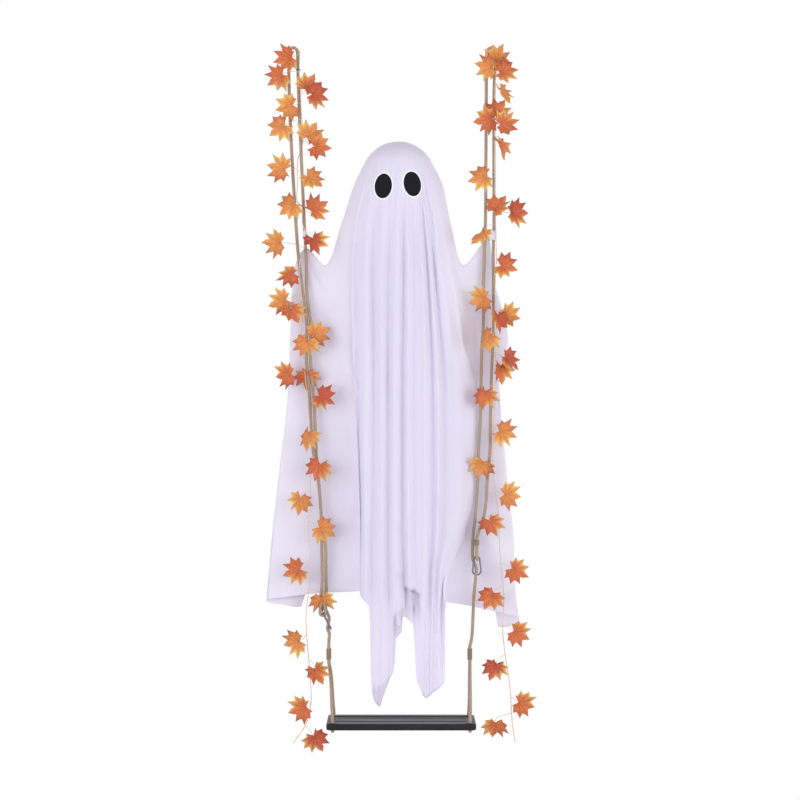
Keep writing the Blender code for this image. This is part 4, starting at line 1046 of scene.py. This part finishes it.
def fold(place, z, x):
    """How far the pleat stands out of the drape, with round crests and sharp valleys."""
    s = place - EDGE_L_LINE
    first, last = FOLD_MARKS[0], FOLD_MARKS[-1]
    if s < first or s > last:
        return 0.0
    for a, b in zip(FOLD_MARKS, FOLD_MARKS[1:]):
        if a <= s <= b:
            wave = math.sin(math.pi * (s - a) / (b - a)) ** 1.35 - 0.60
            break
    edge = min(1.0, (s - first) / 0.5, (last - s) / 0.6)
    grow = clamp((FOLD_START_Z - z) / (FOLD_START_Z - FOLD_FULL_Z))
    grow = grow * grow * (3 - 2 * grow)
    side = max(0.0, 1 - ((x - HEAD_AT[0]) / FACE_HALF_X) ** 4)
    grow *= 1 - side * clamp((z - FACE_LOW_Z + 25) / 25)
    return FOLD_DEPTH * grow * wave * max(0.0, edge)


# Folded edges and creases as seen from the front, in pixels of the photograph
MIDDLE_PIXEL = 392.4
TOP_PIXEL = 46.0
MM_PER_PIXEL = 2.5


def from_pixels(line):
    return [((x - MIDDLE_PIXEL) * MM_PER_PIXEL, (TOP_PIXEL - y) * MM_PER_PIXEL) for x, y in line]


# Points, how far the layer below lies behind, where it is level again (0 for never) and the tone of
# the painted shade below the edge
LEDGES = [
    (((393.5, 571.3), (405, 571.8)), 4.0, 60.0, 0.93),
    (((404.3, 586.3), (411, 588.8), (420, 592.4)), 12.0, 90.0, 0.74),
    (((391.5, 614.5), (398, 611), (404.9, 606.5)), 4.0, 60.0, 0.86),
    (((392.3, 619), (397, 623.5), (402.5, 629.5)), 3.0, 0.0, 0.86),
    (((370.5, 690), (374.5, 688.6), (380, 685.5), (385, 681), (391, 674)), 3.5, 0.0, 0.84),
    (((420, 640), (421.5, 652), (425, 658), (436, 664)), 2.0, 0.0, 0.975),
]
# Points, half width and how far the crease stands out
CREASES = [
    (((362, 300), (361.5, 330), (361, 450), (359.5, 560), (360, 590)), 5.0, -2.5),
    (((374, 215), (374, 330), (374, 450), (371.5, 560), (372, 640)), 4.5, -3.5),
    (((395, 230), (395, 330), (395.5, 400)), 4.0, -2.0),
    (((455.5, 300), (455, 330), (452, 450), (455, 560)), 6.0, -3.5),
    (((386, 205), (386, 330), (389, 420)), 4.0, -2.5),
    (((410, 205), (410, 330)), 3.5, -2.0),
    (((431, 200), (434, 260), (437, 330)), 4.5, -3.0),
    (((365, 205), (361, 260), (358, 300)), 5.0, -3.5),
    (((409, 608.5), (416, 606), (423, 602)), 4.5, 4.0),
    (((405, 530), (405, 600)), 3.5, -3.0),
    (((393, 615), (400, 622), (394, 628)), 4.0, 3.0),
    (((475, 511), (472.7, 517.5), (465.5, 534), (459.4, 548), (454, 558)), 5.0, -7.0),
    (((461, 465), (461, 500), (457, 530), (454, 550)), 14.0, 6.0),
    (((312.5, 272), (320, 284), (327, 295.5)), 4.5, -5.0),
    (((308, 276), (320, 298)), 7.0, 3.5),
    (((322, 351), (326, 370)), 4.0, -2.0),
    (((350.8, 323), (347, 355), (343, 370)), 8.0, -5.0),
    (((452.5, 305), (462, 361)), 6.0, -5.0),
    (((470.5, 366), (469.5, 376)), 3.5, -3.0),
    (((495.4, 342.7), (503, 346)), 4.5, -3.5),
    (((376, 158), (372, 200), (366, 240)), 6.0, -3.0),
    (((422, 160), (428, 200), (436, 240)), 6.0, -3.0),
]
LEDGES = [(from_pixels(line), *rest) for line, *rest in LEDGES]
CREASES = [(from_pixels(line), *rest) for line, *rest in CREASES]


def near_line(line, x, z):
    """Distance to a line, and the share of its length at the nearest place."""
    best, at, run = 1e9, 0.0, 0.0
    for a, b in zip(line, line[1:]):
        dx, dz = b[0] - a[0], b[1] - a[1]
        size = math.hypot(dx, dz)
        t = clamp(((x - a[0]) * dx + (z - a[1]) * dz) / (size * size))
        far = math.hypot(x - a[0] - t * dx, z - a[1] - t * dz)
        if far < best:
            best, at = far, run + t * size
        run += size
    return best, at / run


def crease_shift(x, z):
    """How far the creases lift (+) or sink (-) the cloth at a place."""
    total = 0.0
    for line, half, depth in CREASES:
        xs, zs = zip(*line)
        reach = 4 * half
        if min(xs) - reach < x < max(xs) + reach and min(zs) - reach < z < max(zs) + reach:
            best, at = near_line(line, x, z)
            fade = max(0.12, min(1.0, at / 0.18, (1 - at) / 0.18))
            total += depth * fade * math.exp(-(best / half) ** 2)
    return total


def ledge_shift(x, z):
    """How far a layer below a folded edge lies behind it, and the painted shade that darkens it."""
    back, dark = 0.0, 1.0
    for line, depth, recover, tint in LEDGES:
        first, last = line[0][0], line[-1][0]
        drop = float(np.interp(x, *zip(*line))) - z
        if drop <= 0 or not first < x < last:
            continue
        part = min(1.0, drop / 4.0, (x - first) / 3.0, (last - x) / 3.0)
        if recover:
            part *= max(0.0, 1 - drop / recover)
        back += depth * part
        # Painted shade below the folded edge, fading out where the layer comes level again.
        dark *= 1 - (1 - tint) * part
    return back, dark


def relief(place_at, x, z, flat_x, flat_z):
    """Small folds between the main pleats, and the creases."""
    grow = clamp((FINE_START_Z - z) / 260)
    s = place_at - EDGE_L_LINE
    front = clamp(min((s + 0.1) / 0.5, (5.0 - s) / 0.5))
    drift = z / 700.0
    small = math.sin(11.0 * s + 1.7 * math.sin(2.1 * s + drift) + drift)
    small += 0.6 * math.sin(23.0 * s + 2.0 * math.sin(3.3 * s - drift) - 1.3 * drift)
    total = FINE_FOLD * grow * front * small
    brow = clamp(min((-264 - z) / 35, (z + 520) / 120)) * front
    total += 1.2 * brow * math.sin(13.0 * s + 1.6 * math.sin(3.1 * s + 0.7))
    total += 0.6 * brow * math.sin(24.0 * s + 2.0 * math.sin(2.3 * s))
    side = grow * (1 - front)
    total += 1.6 * side * math.sin(x * 0.045 + 1.1 * math.sin(z * 0.004) + 0.6)
    total += 2.2 * side * noise.noise(Vector((x * 0.012, z * 0.006, 1.7)))
    return total + crease_shift(flat_x, flat_z)


def fine_columns():
    """Columns of the cloth, as places between the drape lines, with their angles."""
    marks = [EDGE_L_LINE + v for v in FOLD_MARKS]
    places = list(np.arange(0, marks[0] - 0.02, SIDE_STEP))
    for a, b in zip(marks, marks[1:]):
        places += [a + (b - a) * k / FOLD_COLUMNS for k in range(FOLD_COLUMNS)]
    places += list(np.linspace(marks[-1], 12, 13)[:-1])
    places += list(np.arange(12, 17 - 1e-6, SIDE_STEP))
    angles = [line[0] for line in DRAPE_LINES] + [180.0]
    return [(float(at), float(np.interp(at, range(18), angles))) for at in places]


def between(values, slope, angles, at):
    """Point of a row between two drape lines."""
    j = min(int(at + 1e-9), len(angles) - 1)
    n = (j + 1) % len(angles)
    return hermite(values[j], values[n], slope[j], slope[n], (angles[n] - angles[j]) % 360.0,
                   at - j)


def hem_level(at, z, end, top):
    """Stretch the last stretch of a column so that it ends on the hem."""
    x, y, low = end
    wanted = low
    if TAIL_EDGE < at < 11.99:
        wanted = TAIL_EDGE_HEM_Z + 6.0 * (at - TAIL_EDGE)
    elif EDGE_L_LINE <= at <= EDGE_R_LINE:
        wanted = hem_height(x, y)
    elif 1 <= at <= 3:
        wanted -= LEFT_WING_STEP * clamp((at - 1.86) / 0.05) * min(1.0, (3 - at) / 0.9)
    elif 14 <= at <= 16:
        wanted -= RIGHT_WING_STEP * clamp((15.05 - at) / 0.05) * min(1.0, (at - 14) / 0.8)
    return top + (z - top) * (wanted - top) / (low - top)


def painted_side_light(at, z):
    """Share of the painted light that brightens the single layer at the sides and the back."""
    wide = max(0.0, min(1.0, (6.0 - at) / 0.9), min(1.0, (at - 10.2) / 0.8))
    return wide * clamp((FINE_START_Z - z) / 260)


def soften(rings, seam):
    """Ease the change from the round of the head to the fall of the drape."""
    for _ in range(5):
        for j in range(seam - 3, seam + 4):
            rings[j] = [tuple(0.5 * c + 0.25 * (a + b) for a, c, b in zip(above, here, below))
                        for above, here, below in zip(rings[j - 1], rings[j], rings[j + 1])]


def settled(at, row, point):
    """Point with its folds and creases, and its painted light and shade."""
    x, y, z = point
    if row > 10 and 9.9 < at < 12:
        near = min(1.0, (at - 9.9) / 0.7) if at <= TAIL_EDGE else (12 - at) / 1.38
        x -= near * (10.0 * min(1.0, (row - 10) * 1.2) - 17.0 * max(0.0, row - 11) ** 2)
    pleat = fold(at, z, x) * (1 - 0.75 * clamp((-1350 - z) / 110))
    if 5.9 < at < 6.45:
        pleat *= 1 - 0.5 * clamp((-1150 - z) / 120)
    flat = seen_at(x, y, z)
    edge = min(1.0, abs(at - 3) / 0.35, abs(at - 14) / 0.35)
    if 3 <= at <= 14:
        y -= pleat + edge * relief(at, x, z, *flat)
    else:
        grow = edge * clamp((FINE_START_Z - z) / 300)
        y -= 3.4 * grow * math.sin(x * 0.05 + math.sin(z * 0.003))
        y -= 2.2 * grow * math.sin(x * 0.12 + 1.7 + 0.9 * math.sin(z * 0.0025))
    set_back, dark = ledge_shift(*flat) if 5 <= at <= 12 else (0.0, 1.0)
    # Painted shade in the pleats' valleys and below the folded edges, and painted light on the
    # single layer at the sides and back.
    tone = dark * (1.0 + 0.003 * min(0.0, pleat)) * (1 + 0.13 * painted_side_light(at, z))
    return (x, y + set_back, z), tone


def sheet():
    """The whole cloth: the solids' drape lines at a finer pitch, with small folds added."""
    columns = fine_columns()
    rows = [row for j, split in enumerate(ROW_SPLIT)
            for row in np.linspace(j, j + 1, split, endpoint=False)] + [12.0]
    lines = line_points(rows)
    angles = np.array([line[0] for line in DRAPE_LINES], float)
    rings = []
    for theta in DOME_FINE:
        level = math.radians(theta)
        rings.append([(HEAD_AT[0] + CLOTH_R * math.sin(level) * math.sin(math.radians(turn)),
                       HEAD_AT[1] - CLOTH_R * math.sin(level) * math.cos(math.radians(turn)),
                       HEAD_AT[2] + CLOTH_R * math.cos(level)) for _, turn in columns])
    tones = [1.0] * (1 + len(rings) * len(columns))
    fine = []
    for index in range(len(rows)):
        values = lines[:, index]
        slope = slopes(angles, values, True)
        fine.append([[float(c) for c in between(values, slope, angles, at)] for at, _ in columns])
    tops, ends = [point[2] for point in fine[rows.index(11.0)]], list(fine[-1])
    for row, ring in zip(rows, fine):
        moved = []
        for (at, _), (x, y, z), end, top in zip(columns, ring, ends, tops):
            if row > 11:
                z = hem_level(at, z, end, top)
            point, tone = settled(at, row, (x, y, z))
            moved.append(point)
            tones.append(tone)
        rings.append(moved)
    soften(rings, len(DOME_FINE))
    verts = [(HEAD_AT[0], HEAD_AT[1], HEAD_AT[2] + CLOTH_R)] + [p for ring in rings for p in ring]
    faces = fan(len(columns)) + skin(len(rings), len(columns), start=1, flip=True)
    made = smooth(build("draped_cloth", verts, faces, cloth_material()))
    # The painted light and shade go on as a colour; where the cloth is brightened by painted light,
    # its blue rises less.
    paint(made, "depth", [(t, t, t - 0.3 * max(0.0, t - 1), 1.0) for t in tones])
    step = made.modifiers.new("thickness", "SOLIDIFY")
    step.thickness = 0.9 * MM
    step.offset = -1.0
    place(made, "root", "cloth_white", "ghost_cloth")
    return verts, faces


# Eyes: felt ovals with a stitched-on paler rim
def oval(name, spot, tree, wide, tall, offset, thick, shade, hole=None):
    x0, z0, lean = spot
    turn = math.radians(lean)
    around, steps = 72, (0.2, 0.4, 0.6, 0.78, 0.9, 0.97, 1.0)
    if hole:
        steps = (hole, hole + 0.3 * (1 - hole), hole + 0.7 * (1 - hole), 1.0)
    flat = [] if hole else [(0.0, 0.0, 0.0)]
    for part in steps:
        flat += [(wide / 2 * u, tall / 2 * v, part)
                 for u, v in arc((0, 0), part, 0, 360, around)[:-1]]
    front, back = [], []
    for u, v, part in flat:
        x = x0 + u * math.cos(turn) + v * math.sin(turn)
        z = z0 - u * math.sin(turn) + v * math.cos(turn)
        hit = tree.ray_cast(Vector((x, -300.0, z)), Vector((0.0, 1.0, 0.0)))
        y = hit[0].y - offset
        round_off = thick * (0.45 if part >= 0.999 or (hole and part <= hole) else 1.0)
        back.append((x, y, z))
        front.append((x, y - round_off, z))
    count = len(flat)
    faces = []
    for layer in (0, count):
        if not hole:
            faces += fan(around, layer)
        faces += skin(len(steps), around, layer + (0 if hole else 1), flip=True)
    for rim in [count - around] + ([0] if hole else []):
        faces += band(rim, count + rim, around)
    return smooth(fix_normals(build(name, back + front, faces, shade)), 50)


def eyes(outer, faces):
    tree = BVHTree.FromPolygons(outer, faces)
    felt = grainy_material("felt_look", (0.007, 0.007, 0.013), (0.017, 0.016, 0.026), 0.95, 900.0,
                           0.0004, 0.4, more={"Sheen Weight": 0.03, "Specular IOR Level": 0.15})
    wide, tall = EYE_WIDE + 2 * RIM_WIDE, EYE_TALL + 2 * RIM_WIDE
    for side, spot in (("left", LEFT_EYE), ("right", RIGHT_EYE)):
        patch = oval(side + "_eye_felt", spot, tree, EYE_WIDE, EYE_TALL, EYE_OFFSET, EYE_THICK,
                     felt)
        place(patch, "root", "felt_black", side + "_eye")
        rim = oval(side + "_eye_rim", spot, tree, wide, tall, RIM_OFFSET, RIM_THICK,
                   rim_look, EYE_WIDE / wide * 0.985)
        place(rim, "root", "cloth_white")


# Snap hooks
def plate(name, start_at, end_at, radius, low, high):
    """Flat bar with round ends in the ring's plane, from n = low to n = high."""
    along = math.degrees(math.atan2(end_at[1] - start_at[1], end_at[0] - start_at[0]))
    ring = arc(end_at, radius, along - 90, along + 90, 12)
    ring += arc(start_at, radius, along + 90, along + 270, 12)
    return build(name, *shell([[(x, y, level) for x, y in ring] for level in (low, high)]))


def combine(item, other, how):
    step = item.modifiers.new("combine", "BOOLEAN")
    step.operation = how
    step.solver = "EXACT"
    step.object = other
    bpy.context.view_layer.update()
    graph = bpy.context.evaluated_depsgraph_get()
    made = bpy.data.meshes.new_from_object(item.evaluated_get(graph))
    item.modifiers.clear()
    item.data = made
    bpy.data.objects.remove(other, do_unlink=True)
    return item


def snap_hook(side, at, axes, shade):
    turned = hook_frame(at, axes)
    hinge = (hook_w(HINGE_V), HINGE_V)
    nose_v = LATCH_V + GAP + 0.1
    flat = [(hook_w(nose_v), nose_v), (HOOK_LOW_R, HOOK_LOW_V)]
    flat += arc((0, HOOK_LOW_V), HOOK_LOW_R, 0, 180, 40)[1:]
    flat += arc((0, HOOK_TOP_V), HOOK_TOP_R, 180, 348, 32)
    body = tube("body", [(w, v, 0) for w, v in flat], HOOK_WIRE_R)
    tongue = plate("tongue", (hinge[0] - 0.5, hinge[1] - TONGUE_LONG), hinge, TONGUE_R,
                   -TONGUE_HALF_T, TONGUE_HALF_T)
    combine(body, tongue, "UNION")
    top_v = HINGE_V + TONGUE_R + 0.6
    gate = tube("gate", [(hook_w(top_v), top_v, 0), (hook_w(LATCH_V), LATCH_V, 0)],
                HOOK_WIRE_R - 0.1)
    inner = TONGUE_HALF_T + GAP
    low_v = top_v + CHEEK_LONG
    for low, high in ((-inner - CHEEK_T, -inner), (inner, inner + CHEEK_T)):
        cheek = plate("cheek", hinge, (hook_w(low_v), low_v), CHEEK_R, low, high)
        combine(gate, cheek, "UNION")
    for piece in (body, gate):
        hole = tube("hole", [(*hinge, -4), (*hinge, 4)], RIVET_R + GAP)
        combine(piece, hole, "DIFFERENCE")
    face = inner + CHEEK_T + GAP
    pin = tube("rivet", [(*hinge, -face), (*hinge, face)], RIVET_R)
    domes = []
    for sign in (-1, 1):
        domes.append(shell([[(x, y, sign * (face + level))
                             for x, y in arc(hinge, part * RIVET_HEAD_R, 0, 360, 20)[:-1]]
                            for part, level in ((1.0, 0.0), (1.0, 0.25), (0.82, 0.48),
                                                (0.45, 0.58))]))
    combine(pin, fix_normals(build("heads", *merged(domes))), "UNION")
    for piece, body_name, part in ((body, "root", "body"), (gate, side + "_gate", "gate"),
                                   (pin, "root", "rivet")):
        name = side + "_hook_" + part
        piece.name = name + "_fine"
        piece.data.transform(turned)
        finished(piece, shade, 40, body_name, "steel", name)


# Seat
def rounded(length, depth, radius, z):
    ring = []
    for cx, cy, base in ((1, 1, 0), (-1, 1, 90), (-1, -1, 180), (1, -1, 270)):
        centre = (cx * (length / 2 - radius), cy * (depth / 2 - radius))
        ring += arc(centre, max(radius, 0.5), base, base + 90, 10)
    return [(SEAT_MID_X + x, y, z) for x, y in ring]


def seat():
    """Moulded plank: rolled edge, raised rim, sunk panel with two long beads."""
    low, r = SEAT_TOP_Z - SEAT_THICK, SEAT_EDGE_R
    outline = arc((r, low + r), r, 270, 180, 5) + arc((r, SEAT_TOP_Z - r), r, 180, 90, 5)
    loops = [rounded(SEAT_LENGTH - 2 * inset, SEAT_DEPTH - 2 * inset, SEAT_CORNER_R - inset, z)
             for inset, z in outline]
    length, depth = SEAT_LENGTH - 2 * SEAT_RIM, 2 * (HOLE_Y - HOLE_R) - 6
    for grow, sunk in ((5, 0), (3, 0.3), (1, 1.2), (0, SEAT_RECESS)):
        loops.append(rounded(length + grow, depth + grow, 4 + grow / 2, SEAT_TOP_Z - sunk))
    made = build("seat_fine", *shell(loops))
    for x in (LEFT_HOLE_X, RIGHT_HOLE_X):
        for y in (-HOLE_Y, HOLE_Y):
            hole = tube("hole", [(x, y, low - 5), (x, y, SEAT_TOP_Z + 5)], HOLE_R, 32)
            combine(made, hole, "DIFFERENCE")
    reach, level = length / 2 - 10, SEAT_TOP_Z - SEAT_RECESS - BEAD_SUNK
    for y in (-BEAD_Y, BEAD_Y):
        ends = [(SEAT_MID_X - reach, y, level), (SEAT_MID_X + reach, y, level)]
        combine(made, tube("bead", ends, BEAD_R), "UNION")
    finished(made, seat_material(), 35, "root", "seat_black", "swing_seat")


# Hand ties: clear straps looped round the ropes and held in the cloth's hands
def strap_loop(name, centre, half, high, turn_z, lean_y):
    inner, wall, low = ROPE_R + GAP, STRAP_WALL, -high
    profile = ((0, low + 0.3), (0.3, low), (wall - 0.3, low), (wall, low + 0.3),
               (wall, high - 0.3), (wall - 0.3, high), (0.3, high), (0, high - 0.3))
    rings = [[(x, y, z) for x, y in stadium(half, inner + out, 18)] for out, z in profile]
    made = build(name, [p for ring in rings for p in ring],
                 skin(len(rings), len(rings[0]), closed=True))
    made.data.transform(Matrix.Rotation(math.radians(turn_z), 4, "Z"))
    made.data.transform(Matrix.Rotation(math.radians(lean_y), 4, "Y"))
    made.data.transform(Matrix.Translation(centre))
    return fix_normals(made)


def ties():
    shade = grainy_material("strap_look", (0.80, 0.76, 0.84), (0.92, 0.88, 0.95), 0.28, 300.0,
                            0.0002, 0.2, 3.0, more={"Transmission Weight": 0.12, "IOR": 1.45})
    for side, made, route in (
            ("left", strap_loop("left_tie", (-218.7, 0, -472), 0.0, 10, 0.0, -2.9),
             [(-218.4, 5.0, -476), (-217.6, 9.0, -485), (-216.8, 16.0, -503.0)]),
            ("right", strap_loop("right_tie", (242.6, 0, -473.5), 10.9, 11.5, 90.0, 1.5),
             [(241.6, 5.0, -470), (241.3, 9.5, -471.5), (241.8, 15.4, -472.7)])):
        line, _ = even(route, 1.0)
        combine(made, fix_normals(ribbon(line, STRAP_WIDE, STRAP_WALL)), "UNION")
        made.name = side + "_hand_tie_fine"
        finished(made, shade, 40, "root", "strap_clear", side + "_hand_tie")


def dress(name, shade):
    item = frame["nodes"][name]
    for spot in item.material_slots:
        spot.material = shade
    if not item.material_slots:
        item.data.materials.append(shade)


# The whole object
camera()
studio()
floor()
twine_look = grainy_material("twine_look", (0.27, 0.19, 0.12), (0.44, 0.33, 0.22), 0.9, 700.0,
                             0.0004, 0.5, stretch=(1.0, 1.0, 3.0))
stem_look = grainy_material("stem_look", (0.66, 0.47, 0.36), (0.86, 0.70, 0.60), 0.6, 300.0,
                            0.0003)
leaf_look = leaf_material()
rim_look = grainy_material("rim_look", (0.97, 0.96, 0.99), (1.0, 1.0, 1.0), 0.7, 700.0, 0.0003)
ropes()
garland("left", LEFT_STEM, LEFT_LEAVES, 11)
garland("right", RIGHT_STEM, RIGHT_LEAVES, 23)
outer, outer_faces = sheet()
eyes(outer, outer_faces)
steel_look = steel_material()
snap_hook("left", LEFT_HOOK_AT, LEFT_HOOK_AXES, steel_look)
snap_hook("right", RIGHT_HOOK_AT, RIGHT_HOOK_AXES, steel_look)
seat()
ties()
for name, x, low, high, turn in (
        ("left_splice", LEFT_EYE_X, LEFT_SPLICE_LOW, LEFT_SPLICE_LOW + SPLICE_TALL, 90),
        ("right_splice", RIGHT_HOOK_AT[0], RIGHT_SPLICE_LOW, RIGHT_SPLICE_LOW + SPLICE_TALL, 0),
        ("left_seat_whipping", LEFT_LEG_X, WHIP_LOW_Z, WHIP_TOP_Z, 0),
        ("right_seat_whipping", RIGHT_LEG_X, WHIP_LOW_Z, WHIP_TOP_Z, 0)):
    wound(name, (x, 0), STRAND_HALF, low, high, turn, TWINE_R, "twine", twine_look)
wire_look = steel_material("wire_look", (0.30, 0.31, 0.32), 0.4)
for name, x in (("left_garland_tie", -235.3), ("right_garland_tie", 256.6)):
    wound(name, (x, -3), TIE_HALF, GARLAND_TIE_LOW_Z, GARLAND_TIE_TOP_Z, 0, TIE_WIRE_R,
          "wire_steel", wire_look)
dress("ghost_head", grainy_material("foam_look", (0.78, 0.78, 0.75), (0.90, 0.90, 0.88), 0.95,
                                    420.0, 0.0008))
dress("neck_post", grainy_material("post_look", (0.50, 0.50, 0.52), (0.62, 0.62, 0.64), 0.5,
                                   200.0, 0.0002))
dress("arm_wire", wire_look)
